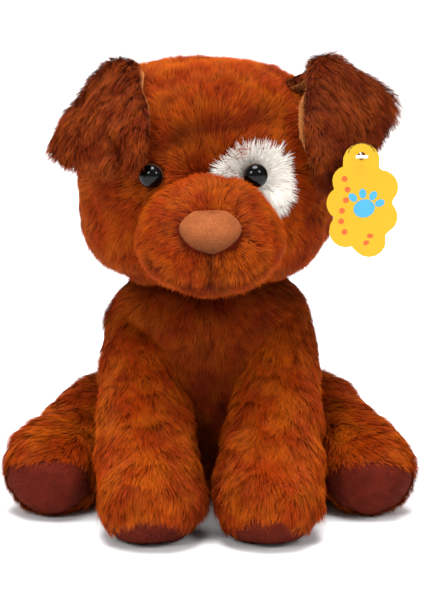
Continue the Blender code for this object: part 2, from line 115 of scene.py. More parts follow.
# Soles: the way each faces, how far out the paw is flattened, half width and half height of the velour.
FRONT_SOLE = (np.array([0.0, -0.16, -0.98]), 19.5, 21.0, 25.5)
HIND_SOLE = (np.array([0.06, -0.94, -0.34]), 18.2, 22.5, 17.0)
TAIL = np.array([(0.0, 60.0, 26.0, 7.0), (3.0, 76.0, 31.0, 9.0), (8.0, 90.0, 42.0, 7.0)])

# Points that each ear's face runs through, before evened() spaces the rows. Rows go from
# the sewn root up to the fold and down to the free edge; each runs from the inner edge to the outer one.
EAR_ROWS = {
    "right": np.array([
        ((-42, -37, 229), (-49, -28, 227), (-56, -20, 223), (-62, -12, 214), (-66, -3, 203)),
        ((-38, -38, 237), (-48, -33, 235), (-58, -27, 227), (-68, -14, 213), (-76, -3, 200)),
        ((-38, -42, 241), (-48, -37, 238), (-58, -31, 227), (-69, -17, 212), (-80, -4, 196)),
        ((-36, -58, 232), (-45, -54, 227), (-55, -50, 218), (-66, -41, 207), (-81, -20, 193)),
        ((-32, -70, 221), (-41, -67, 215), (-50, -62, 209), (-61, -54, 200), (-77, -38, 191)),
        ((-31, -77, 209), (-38, -76, 206), (-46, -71, 201), (-56, -61, 194), (-68, -51, 189)),
        ((-33, -80, 197), (-38, -79, 193), (-45, -75, 194), (-51, -68, 190), (-60, -60, 188)),
    ], dtype=float),
    "left": np.array([
        ((39, -37, 229), (46, -28, 227), (53, -20, 223), (59, -12, 214), (63, -3, 203)),
        ((46, -38, 231), (57, -29, 231), (66, -22, 227), (74, -13, 219), (80, -5, 210)),
        ((52, -38, 243), (63, -34, 242), (74, -26, 234), (85, -16, 225), (95, -6, 217)),
        ((50, -56, 230), (60, -52, 228), (71, -44, 223), (82, -34, 217), (93, -20, 209)),
        ((49, -68, 217), (58, -64, 215), (69, -56, 211), (78, -46, 207), (88, -32, 201)),
        ((50, -72, 199), (58, -69, 198), (66, -61, 195), (75, -51, 194), (82, -41, 192)),
        ((55, -70, 185), (60, -66, 180), (66, -60, 177), (71, -52, 177), (76, -45, 182)),
    ], dtype=float),
}

# White patch round the left eye: centre, half width, half height, and how far its outer corner drops.
PATCH_CENTRE = (22.0, 184.0)
PATCH_HALF = (16.0, 15.5)
PATCH_CORNER = 0.22

# How far the ear rows slide towards equal spacing, and the steps that their lengths are measured in.
EVEN_SHARE = 0.4
EVEN_STEPS = 400
# The parts of an ear that its lining covers, across it and from root to free edge.
LINING_ACROSS = (0.0, 0.97)
LINING_ALONG = (0.02, 0.97)

# Eye dome: radius, rise in front of its widest ring, depth behind it, and that ring's place in the eye's box.
EYE_RADIUS = 6.3
EYE_RISE = 5.0
EYE_SINK = 2.5
EYE_RING = 4.2
# The face is everything in front of this depth.
FACE_BACK = -35.0

# Stuffing: cloth pressure and the frames that it settles in.
PRESSURE = 4.0
SETTLE_FRAMES = 20

# Size of the small curls at the tips of the pile, in metres, and two large factors that give each strand's
# root its own white noise.
CURL_SIZE = 0.005
STRAY_SCATTER = 997.0
LENGTH_SCATTER = 613.0


class PuppySizes(bpy.types.PropertyGroup):
    pile: FloatProperty(name="Pile", description="Length of the body pile", default=0.0095, unit="LENGTH")
    ear_pile: FloatProperty(name="Ear pile", description="Length of the ear pile", default=0.0075,
                            unit="LENGTH")
    nap: FloatProperty(name="Nap", description="Length of the velour nap", default=0.0011, unit="LENGTH")
    strand: FloatProperty(name="Strand", description="Width of one lock of pile", default=0.00036,
                          unit="LENGTH")
    density: FloatProperty(name="Density", description="Locks of pile per square metre", default=3.2e6)
    clump: FloatProperty(name="Clump", description="Width of the tufts that the pile gathers into",
                         default=0.0055, unit="LENGTH")
    seed: IntProperty(name="Seed", description="Seed of every random spread", default=11)


def linear(hex_colour):
    """Turn an sRGB hex colour to the linear values that a shader takes."""
    values = [int(hex_colour[i:i + 2], 16) / 255 for i in (1, 3, 5)]
    return [v / 12.92 if v <= 0.04045 else ((v + 0.055) / 1.055) ** 2.4 for v in values]


def colour(name, about, hex_colour):
    return FloatVectorProperty(name=name, description=about, subtype="COLOR", size=3, min=0.0, max=1.0,
                               default=linear(hex_colour))


class PuppyColours(bpy.types.PropertyGroup):
    plush_root: colour("Plush root", "Brown pile at the backing", "#560E01")
    plush_tip: colour("Plush tip", "Brown pile at the tips", "#C65A07")
    ear_root: colour("Ear root", "Ear pile at the backing", "#451206")
    ear_tip: colour("Ear tip", "Ear pile at the tips", "#A6480F")
    patch_root: colour("Patch root", "White pile at the backing", "#E6E1D8")
    patch_tip: colour("Patch tip", "White pile at the tips", "#FBFAF7")
    lining: colour("Ear lining", "Brushed cloth inside the ears", "#B9743F")
    sole: colour("Sole", "Velour of the soles", "#742412")
    nose: colour("Nose", "Velour of the nose", "#B46A3C")
    card: colour("Card", "Yellow card of the tag", "#C0940F")


# ---------------------------------------------------------------- mesh helpers

def new_piece(name, points, faces):
    """Object from points in millimetres, placed in its mesh."""
    mesh = bpy.data.meshes.new(name)
    mesh.from_pydata((np.asarray(points) * MM).tolist(), [], faces)
    mesh.update()
    mesh.shade_smooth()
    piece = bpy.data.objects.new(name, mesh)
    bpy.context.scene.collection.objects.link(piece)
    return piece


def outward(piece):
    """Merge doubles and turn every face outwards."""
    bm = bmesh.new()
    bm.from_mesh(piece.data)
    bmesh.ops.remove_doubles(bm, verts=bm.verts, dist=1e-6)
    bmesh.ops.recalc_face_normals(bm, faces=bm.faces)
    bm.to_mesh(piece.data)
    bm.free()
    piece.data.update()
    return piece


def tube(name, rows):
    """Closed skin through rings of points; the first and last ring are single points."""
    points = np.vstack([rows[0][:1], *rows[1:-1], rows[-1][:1]])
    count = len(rows[1])
    faces = []
    for i in range(count):
        faces.append((0, 1 + (i + 1) % count, 1 + i))
    for r in range(len(rows) - 3):
        a = 1 + r * count
        for i in range(count):
            j = (i + 1) % count
            faces.append((a + i, a + j, a + count + j, a + count + i))
    last = len(points) - 1
    a = 1 + (len(rows) - 3) * count
    for i in range(count):
        faces.append((last, a + i, a + (i + 1) % count))
    return outward(new_piece(name, points, faces))


def unit(vectors):
    return vectors / np.maximum(np.linalg.norm(vectors, axis=-1, keepdims=True), 1e-9)


def turns(count):
    return np.linspace(0, 2 * math.pi, count, endpoint=False)


def hill(points, centre, spread):
    """Smooth bump, 1 at its centre."""
    away = (points - np.array(centre)) / np.array(spread)
    return np.exp(-(away ** 2).sum(-1))


def ripple(points, size, seed):
    """Smooth random values from -1 to 1, about size millimetres across."""
    shift = Vector((seed * 7.3, seed * 3.1, seed * 5.7))
    return np.array([noise.noise(Vector(p) / size + shift) for p in points])


def coordinates(piece):
    flat = np.empty(len(piece.data.vertices) * 3)
    piece.data.vertices.foreach_get("co", flat)
    return flat.reshape(-1, 3) / MM


def normals(piece):
    flat = np.empty(len(piece.data.vertices) * 3)
    piece.data.vertices.foreach_get("normal", flat)
    return flat.reshape(-1, 3)


def reshape(piece, points):
    piece.data.vertices.foreach_set("co", (points * MM).ravel())
    piece.data.update()
    return piece


def evaluated(piece):
    """Plain mesh of a piece as its modifiers leave it."""
    graph = bpy.context.evaluated_depsgraph_get()
    return bpy.data.meshes.new_from_object(piece.evaluated_get(graph), preserve_all_data_layers=True,
                                           depsgraph=graph)


def puff(piece, slack=0.8, cap=2.6, voxel=5.0):
    """Stuff a sewn skin: shrink it, blow it up as cloth under pressure, and cap how far it may move."""
    reshape(piece, coordinates(piece) - normals(piece) * slack)
    remesh = piece.modifiers.new("even", "REMESH")
    remesh.mode = "VOXEL"
    remesh.voxel_size = voxel * MM
    piece.data = evaluated(piece)
    piece.modifiers.clear()
    start = coordinates(piece)
    cloth = piece.modifiers.new("stuffed", "CLOTH")
    cloth.settings.use_pressure = True
    cloth.settings.uniform_pressure_force = PRESSURE
    cloth.settings.effector_weights.gravity = 0.0
    scene = bpy.context.scene
    for frame_number in range(1, SETTLE_FRAMES + 1):
        scene.frame_set(frame_number)
    piece.data = evaluated(piece)
    piece.modifiers.clear()
    scene.frame_set(1)
    moved = coordinates(piece) - start
    far = np.maximum(np.linalg.norm(moved, axis=1, keepdims=True), 1e-6)
    reshape(piece, start + moved * np.minimum(1.0, cap / far))
    smooth = piece.modifiers.new("round", "SUBSURF")
    smooth.levels = 1
    piece.data = evaluated(piece)
    piece.modifiers.clear()
    piece.data.shade_smooth()


def smooth_line(stations, count):
    """Smooth curve through the stations; each point also carries its radius."""
    knots = np.vstack([2 * stations[0] - stations[1], stations, 2 * stations[-1] - stations[-2]])
    line = []
    for at in np.linspace(0, len(stations) - 1, count):
        first = min(int(at), len(stations) - 2)
        t = at - first
        p, q, r, s = knots[first:first + 4]
        line.append(0.5 * (2 * q + (r - p) * t + (2 * p - 5 * q + 4 * r - s) * t ** 2
                           + (3 * q - p - 3 * r + s) * t ** 3))
    return np.array(line)


# ---------------------------------------------------------------- shapes of the sewn skins

def head_value(points, inset=0.0):
    """Below 1 inside the head, after taking inset millimetres off it."""
    away = points - HEAD_CENTRE
    upper = away[:, 2] > 0
    height = np.where(upper, HEAD_HALF[2], HEAD_LOWER) - inset
    power = np.where(upper, DOME_POWER, CHEEK_POWER)
    girth = np.hypot(away[:, 0] / (HEAD_HALF[0] - inset), away[:, 1] / (HEAD_HALF[1] - inset))
    return girth ** power + np.abs(away[:, 2] / height) ** power


def muzzle_value(points, inset=0.0):
    return np.linalg.norm((points - MUZZLE_CENTRE) / (MUZZLE_HALF - inset), axis=1)


def limb_distance(points, stations):
    """Millimetres outside a leg's or the tail's skin; below 0 inside it."""
    line = smooth_line(stations, 16)
    gaps = [np.linalg.norm(points - row[:3], axis=1) - row[3] for row in line]
    return np.min(gaps, axis=0)


def torso_value(points, inset=0.0):
    """Below 1 inside the trunk."""
    sections = TORSO_SECTIONS
    width = np.interp(points[:, 2], sections[:, 0], sections[:, 1]) - inset
    depth = np.interp(points[:, 2], sections[:, 0], sections[:, 2]) - inset
    back = np.interp(points[:, 2], sections[:, 0], sections[:, 3])
    return np.hypot(points[:, 0] / width, (points[:, 1] - back) / depth)


def mirrored(stations, sign):
    return stations * np.array([sign, 1, 1, 1])


def patch_value(points):
    """Below 1 inside the white patch's outline, seen from the front."""
    x = (points[:, 0] - PATCH_CENTRE[0]) / PATCH_HALF[0]
    z = (points[:, 2] - PATCH_CENTRE[1]) / PATCH_HALF[1]
    reach = np.maximum(np.hypot(x, z), 1e-6)
    corner = np.maximum(0.0, (x - z) / reach / math.sqrt(2)) ** 6
    return reach / (1 + PATCH_CORNER * corner) + np.where(points[:, 1] > FACE_BACK, 10.0, 0.0)


def eye_distance(points, side):
    away = np.linalg.norm((points - EYES[side])[:, [0, 2]], axis=1)
    return away + np.where(points[:, 1] > FACE_BACK, 99.0, 0.0)


def brow(points):
    """1 along the parting above the eyes."""
    height = 205 + 0.12 * points[:, 0] + 3.2 * np.sin(points[:, 0] / 9) + 4 * ripple(points, 14, 21)
    wide = np.clip((points[:, 0] + 42) / 22, 0, 1) * np.clip((44 - points[:, 0]) / 22, 0, 1)
    return np.exp(-((points[:, 2] - height) / 5.5) ** 2) * wide * (points[:, 1] < -40)


def make_head_skin():
    rows = []
    around = turns(150)
    for angle in np.linspace(-math.pi / 2, math.pi / 2, 96):
        upper = angle > 0
        power = DOME_POWER if upper else CHEEK_POWER
        height = HEAD_HALF[2] if upper else HEAD_LOWER
        rise = math.copysign(abs(math.sin(angle)) ** (2 / power), angle) * height
        girth = max(math.cos(angle), 0.0) ** (2 / power)
        rows.append(HEAD_CENTRE + np.column_stack([
            HEAD_HALF[0] * girth * np.cos(around), HEAD_HALF[1] * girth * np.sin(around),
            np.full(around.size, rise)]))
    skin = tube("head_plush", rows)
    puff(skin, 0.6, 1.6)
    points, facing = coordinates(skin), normals(skin)
    lift = 2.5 * hill(points, (0, -66, 214), (30, 26, 13))
    lift += 3.0 * sum(hill(points, (sign * 44, -52, 150), (20, 22, 20)) for sign in (-1, 1))
    lift -= 3.2 * sum(hill(points, EYES[side], (11, 20, 9)) for side in EYES)
    lift -= 2.0 * hill(points, (0, -74, 192), (10, 20, 12))
    lift -= 1.7 * brow(points)
    seam = np.exp(-(points[:, 0] / 1.8) ** 2) * (points[:, 1] < -5) * (points[:, 2] > 192)
    lift -= 1.1 * seam
    top = np.clip((points[:, 2] - 205) / 20, 0, 1)
    lift += 1.7 * ripple(points, 26, 1) + (0.8 + 0.9 * top) * ripple(points, 10, 9)
    return reshape(skin, points + facing * lift[:, None])


def mouth(points):
    """1 on the short seam under the nose and on the two creases that curve up from it."""
    x = points[:, 0] - MUZZLE_CENTRE[0]
    seam = np.exp(-(x / 1.7) ** 2) * (points[:, 2] > 139)
    smile = 139.0 + 0.016 * x ** 2
    crease = np.exp(-((points[:, 2] - smile) / 1.9) ** 2) * (np.abs(x) < 27)
    uneven = 0.45 * crease * (1 + 0.8 * ripple(points, 8, 23))
    return np.maximum(seam, uneven) * (points[:, 1] < -80)


def make_muzzle_skin():
    around = turns(120)
    rows = []
    for angle in np.linspace(-math.pi / 2, math.pi / 2, 70):
        rows.append(MUZZLE_CENTRE + np.column_stack([
            MUZZLE_HALF[0] * math.cos(angle) * np.cos(around),
            MUZZLE_HALF[1] * math.cos(angle) * np.sin(around),
            np.full(around.size, MUZZLE_HALF[2] * math.sin(angle))]))
    skin = tube("muzzle_plush", rows)
    points, facing = coordinates(skin), normals(skin)
    middle_x = MUZZLE_CENTRE[0]
    front = np.clip((-85 - points[:, 1]) / 8, 0, 1)
    below_nose = np.clip((NOSE_CENTRE[2] - 5 - points[:, 2]) / 5, 0, 1)
    lift = 2.6 * sum(hill(points, (middle_x + sign * 18, -96, 147), (11, 16, 11)) for sign in (-1, 1))
    lift += 4.5 * hill(points, (middle_x, -76, 180), (30, 24, 11))
    lift -= 4.6 * mouth(points) * front * below_nose
    lift += 1.1 * ripple(points, 14, 2)
    return reshape(skin, points + facing * lift[:, None])


def make_torso_skin():
    sections = smooth_line(TORSO_SECTIONS, 90)
    around = turns(130)
    rows = [np.tile([0, sections[0][3], sections[0][0]], (around.size, 1))]
    for share in (0.35, 0.7, 0.93):
        first = sections[0]
        rows.append(np.column_stack([share * first[1] * np.cos(around),
                                     first[3] + share * first[2] * np.sin(around),
                                     np.full(around.size, first[0])]))
    for height, width, depth, back in sections:
        rows.append(np.column_stack([width * np.cos(around), back + depth * np.sin(around),
                                     np.full(around.size, height)]))
    last = sections[-1]
    rows.append(np.column_stack([0.6 * last[1] * np.cos(around), last[3] + 0.6 * last[2] * np.sin(around),
                                 np.full(around.size, last[0] + 0.6)]))
    rows.append(np.tile([0, last[3], last[0] + 0.9], (around.size, 1)))
    skin = tube("torso_plush", rows)
    puff(skin)
    points, facing = coordinates(skin), normals(skin)
    firm = np.clip(points[:, 2] / 12, 0, 1) * np.clip((130 - points[:, 2]) / 12, 0, 1)
    seam = np.exp(-(points[:, 0] / 2.0) ** 2) * (points[:, 1] > 20)
    shoulders = sum(hill(points, (sign * 40, -10, 103), (18, 22, 13)) for sign in (-1, 1))
    lift = (2.0 * ripple(points, 24, 3) + 0.8 * ripple(points, 9, 4) - 1.2 * seam) * firm + 5.5 * shoulders
    return reshape(skin, points + facing * lift[:, None])


def make_limb_skin(name, stations, seed, sole=None):
    """Round-ended skin along a leg or the tail, flattened at the sole and where it meets the floor."""
    line = smooth_line(stations, 46)
    centres = line[:, :3]
    along = unit(np.gradient(centres, axis=0))
    around = turns(80)
    caps = np.linspace(0, math.pi / 2, 13)
    stages = [(centres[0] - along[0] * line[0, 3] * math.cos(a), along[0], line[0, 3] * math.sin(a))
              for a in caps[:-1]]
    stages += [(centres[i], along[i], line[i, 3]) for i in range(len(line))]
    stages += [(centres[-1] + along[-1] * line[-1, 3] * math.cos(a), along[-1], line[-1, 3] * math.sin(a))
               for a in caps[::-1][1:]]
    rows = []
    for centre, way, radius in stages:
        across = unit(np.cross(way, [1.0, 0, 0]))
        aside = np.cross(across, way)
        rows.append(centre + radius * (np.outer(np.cos(around), aside) + np.outer(np.sin(around), across)))
    skin = tube(name, rows)
    puff(skin)
    points, facing = coordinates(skin), normals(skin)
    if sole is not None:
        aim = unit(sole[0] * np.array([math.copysign(1, stations[-1][0]), 1, 1]))
        ahead = (points - stations[-1, :3]) @ aim
        points = points - np.outer(np.maximum(ahead - sole[1], 0) * 0.72, aim)
    firm = np.clip(points[:, 2] / 8, 0, 1)
    lift = (1.9 * ripple(points, 17, seed) + 0.7 * ripple(points, 8, seed + 1)) * firm
    points = points + facing * lift[:, None]
    floor = 0.8
    points[:, 2] = np.where(points[:, 2] < floor + 2, floor + np.maximum(points[:, 2] - floor, 0) * 0.5,
                            points[:, 2])
    return reshape(skin, points)


def through(count, at):
    """Weights of a smooth curve through count stations, at places from 0 to 1."""
    knots = np.zeros((count + 2, count))
    knots[1:-1] = np.eye(count)
    knots[0, :2] = 2, -1
    knots[-1, -2:] = -1, 2
    place = np.clip(np.asarray(at) * (count - 1), 0, count - 1)
    first = np.minimum(place.astype(int), count - 2)
    t = place - first
    parts = np.array([2 * t ** 2 - t - t ** 3, 2 - 5 * t ** 2 + 3 * t ** 3, t + 4 * t ** 2 - 3 * t ** 3,
                      t ** 3 - t ** 2]) / 2
    weights = np.zeros((len(place), count + 2))
    for k in range(4):
        weights[np.arange(len(place)), first + k] += parts[k]
    return weights @ knots


def evened(rows):
    """Slide an ear's inner rows along its surface, part of the way to equal spacing, to whole millimetres."""
    at = np.linspace(0, 1, EVEN_STEPS)
    own = np.linspace(0, 1, len(rows))
    result = rows.copy()
    for column in range(rows.shape[1]):
        line = through(len(rows), at) @ rows[:, column]
        run = np.append(0, np.cumsum(np.linalg.norm(np.diff(line, axis=0), axis=1)))
        place = EVEN_SHARE * own * run[-1] + (1 - EVEN_SHARE) * np.interp(own, at, run)
        for axis in range(3):
            result[1:-1, column, axis] = np.round(np.interp(place[1:-1], run, line[:, axis]))
    return result


def ear_face(rows, u, v):
    """Points of an ear's face at u across and v from root to free edge, each 0 to 1."""
    return np.einsum("nr,nc,rcd->nd", through(rows.shape[0], v), through(rows.shape[1], u), rows)


def make_leaf(name, rows, depth, puff_out, thickness, u_range=(0.0, 1.0), v_range=(0.0, 1.0), pinch=0.0,
              across=60, down=90):
    """One leaf of an ear: a pillow with thin edges, depth millimetres under the ear's own folded face."""
    s, t = np.meshgrid(np.linspace(0, 1, across + 1), np.linspace(0, 1, down + 1))
    s, t = s.ravel(), t.ravel()
    v = v_range[0] + (v_range[1] - v_range[0]) * t
    u = u_range[0] + (u_range[1] - u_range[0]) * s
    step = 0.01
    place = ear_face(rows, u, v)
    before, after = np.clip(u - step, 0, 1), np.clip(u + step, 0, 1)
    above, below = np.clip(v - step, 0, 1), np.clip(v + step, 0, 1)
    facing = unit(np.cross(ear_face(rows, after, v) - ear_face(rows, before, v),
                           ear_face(rows, u, below) - ear_face(rows, u, above)))
    if facing[len(facing) * 3 // 4][1] > 0:
        facing = -facing
    edge = np.minimum(np.minimum(s, 1 - s) * 2.2, np.minimum(t + 0.12, 1 - t) * 2.6)
    round_edge = np.sqrt(np.clip(1 - (1 - np.clip(edge * 2.4, 0, 1)) ** 2, 0, 1))
    crease = pinch * np.exp(-((u - 0.5) / 0.055) ** 2) * np.clip((v - 0.66) / 0.2, 0, 1)
    rumple = 2.2 * ripple(place, 16, 6) * np.clip(edge * 3, 0, 1)
    front = place - facing * (depth - puff_out * round_edge + crease - rumple)[:, None]
    back = place - facing * (depth + thickness * round_edge + crease - rumple)[:, None]
    row = across + 1
    total = row * (down + 1)
    faces = []
    for i in range(down):
        for j in range(across):
            a = i * row + j
            faces.append((a, a + 1, a + row + 1, a + row))
            faces.append((total + a, total + a + row, total + a + row + 1, total + a + 1))
    rim = list(range(row)) + [i * row + row - 1 for i in range(1, down + 1)]
    rim += [down * row + j for j in range(row - 2, -1, -1)] + [i * row for i in range(down - 1, 0, -1)]
    for k, a in enumerate(rim):
        b = rim[(k + 1) % len(rim)]
        faces.append((a, b, total + b, total + a))
    leaf = new_piece(name, np.vstack([front, back]), faces)
    layer = leaf.data.attributes.new("leaf_u", "FLOAT", "POINT")
    layer.data.foreach_set("value", np.tile(s, 2).astype(np.float32))
    layer = leaf.data.attributes.new("leaf_v", "FLOAT", "POINT")
    layer.data.foreach_set("value", np.tile(t, 2).astype(np.float32))
    return outward(leaf)


def values(piece, name):
    flat = np.empty(len(piece.data.vertices), np.float32)
    piece.data.attributes[name].data.foreach_get("value", flat)
    return flat


# ---------------------------------------------------------------- materials

def add(tree, kind, links=(), **settings):
    """Add a node with its settings; links maps its input names or numbers to values or outputs."""
    node = tree.nodes.new(kind)
    for name, value in settings.items():
        setattr(node, name, value)
    for key, value in dict(links).items():
        if isinstance(value, bpy.types.NodeSocket):
            tree.links.new(value, node.inputs[key])
        else:
            node.inputs[key].default_value = value
    return node


def new_material(name, **constants):
    """Principled material; constants go straight to the shader's own sockets."""
    material = bpy.data.materials.new(name)
    material.use_nodes = True
    tree = material.node_tree
    tree.nodes.clear()
    shader = add(tree, "ShaderNodeBsdfPrincipled", {k.replace("_", " "): v for k, v in constants.items()})
    add(tree, "ShaderNodeOutputMaterial", {"Surface": shader.outputs["BSDF"]})
    return material, tree, shader


def rgba(value):
    return (*value, 1.0)


def noise_on_object(tree, size_mm, detail=3.0, rough=0.55):
    """Noise about size_mm across, fixed to the piece."""
    place = add(tree, "ShaderNodeTexCoord")
    return add(tree, "ShaderNodeTexNoise", {"Vector": place.outputs["Object"], "Scale": 1 / (size_mm * MM),
                                            "Detail": detail, "Roughness": rough})


def ramp(tree, factor, stops):
    node = add(tree, "ShaderNodeValToRGB", {"Fac": factor})
    elements = node.color_ramp.elements
    while len(elements) < len(stops):
        elements.new(0.5)
    for element, (at, value) in zip(elements, stops):
        element.position = at
        element.color = rgba(value)
    return node


def mixed(tree, factor, first, second, blend="MIX"):
    node = add(tree, "ShaderNodeMix", data_type="RGBA", blend_type=blend)
    for key, value in ((0, factor), (6, first), (7, second)):
        if isinstance(value, bpy.types.NodeSocket):
            tree.links.new(value, node.inputs[key])
        elif key:
            node.inputs[key].default_value = rgba(value)
        else:
            node.inputs[key].default_value = value
    return node.outputs[2]


def bump(tree, shader, height, distance_mm, strength=1.0):
    node = add(tree, "ShaderNodeBump", {"Height": height, "Distance": distance_mm * MM, "Strength": strength})
    tree.links.new(node.outputs["Normal"], shader.inputs["Normal"])


def pile_material(name, root, tip, warm, patch_mm=16.0):
    """Acrylic plush pile: dark at the backing, light at the tips, with patches where the nap lies over."""
    material, tree, shader = new_material(name, Roughness=0.6, Specular_IOR_Level=0.06, Sheen_Weight=0.06,
                                          Sheen_Roughness=0.5, Sheen_Tint=rgba(tip))
    height = add(tree, "ShaderNodeAttribute", attribute_name="strand_tip").outputs["Fac"]
    shade = add(tree, "ShaderNodeAttribute", attribute_name="strand_shade").outputs["Fac"]
    patches = noise_on_object(tree, patch_mm, 2.0).outputs["Fac"]
    body = ramp(tree, height, [(0.0, root), (0.5, [0.30 * t + 0.70 * r for r, t in zip(root, tip)]),
                               (1.0, tip)]).outputs["Color"]
    turned_and_painted_shade = mixed(tree, ramp(tree, patches, [(0.38, (0, 0, 0)), (0.60, (1, 1, 1))]).outputs["Color"],
                   body, warm, "MULTIPLY")
    # Painted shade: the pile is mixed towards a dark root colour by each strand's painted-shade attribute.
    painted_shade_amount = add(tree, "ShaderNodeAttribute", attribute_name="strand_painted_shade").outputs["Fac"]
    turned_and_painted_shade = mixed(tree, painted_shade_amount, turned_and_painted_shade, [0.55 * c for c in root])
    strand = ramp(tree, shade, [(0.0, (0.78, 0.73, 0.70)), (0.5, (0.95, 0.94, 0.92)),
                                (1.0, (1.0, 1.0, 1.0))]).outputs["Color"]
    tree.links.new(mixed(tree, 1.0, turned_and_painted_shade, strand, "MULTIPLY"), shader.inputs["Base Color"])
    return material


def backing_material(name, value):
    """Knitted plush backing: fine loops, seen only where the pile parts."""
    material, tree, shader = new_material(name, Roughness=0.95, Specular_IOR_Level=0.1)
    loops = noise_on_object(tree, 0.8, 1.0)
    tree.links.new(mixed(tree, loops.outputs["Fac"], [0.6 * c for c in value], value),
                   shader.inputs["Base Color"])
    bump(tree, shader, loops.outputs["Fac"], 0.3, 0.6)
    return material


def velour_material(name, value, dark):
    """Short knitted velour: soft sheen, finger-marked patches and a fine grain, drawn coarser to show."""
    glow = rgba([min(1, 1.6 * c) for c in value])
    material, tree, shader = new_material(name, Roughness=0.8, Specular_IOR_Level=0.08, Sheen_Weight=0.25,
                                          Sheen_Roughness=0.4, Sheen_Tint=glow)
    marks = noise_on_object(tree, 9.0, 3.0)
    grain = noise_on_object(tree, 0.55, 2.0)
    painted_shade_amount = add(tree, "ShaderNodeAttribute", attribute_name="strand_painted_shade").outputs["Fac"]
    rubbed_and_painted_shade = mixed(tree, marks.outputs["Fac"], dark, value)
    # Painted shade: the velour is mixed towards a darker colour by the painted-shade attribute.
    rubbed_and_painted_shade = mixed(tree, painted_shade_amount, rubbed_and_painted_shade, [0.45 * c for c in dark])
    tint = ramp(tree, grain.outputs["Fac"], [(0.3, (0.6, 0.55, 0.55)), (0.7, (1.0, 1.0, 1.0))])
    tree.links.new(mixed(tree, 1.0, rubbed_and_painted_shade, tint.outputs["Color"], "MULTIPLY"), shader.inputs["Base Color"])
    bump(tree, shader, grain.outputs["Fac"], 0.25, 0.5)
    return material


# ---------------------------------------------------------------- the pile, by geometry nodes

def make_blade():
    """Tapered strand that the pile repeats: 0 to 1 along it, -1 to 1 across it."""
    points = [(-1, 0, 0), (1, 0, 0), (-0.8, 0, 0.5), (0.8, 0, 0.5), (0, 0, 1)]
    mesh = bpy.data.meshes.new("pile_strand")
    mesh.from_pydata(points, [], [(0, 1, 3, 2), (2, 3, 4)])
    for name, axis in (("strand_side", 0), ("strand_tip", 2)):
        layer = mesh.attributes.new(name, "FLOAT", "POINT")
        layer.data.foreach_set("value", [p[axis] for p in points])
    return bpy.data.objects.new("pile_strand", mesh)


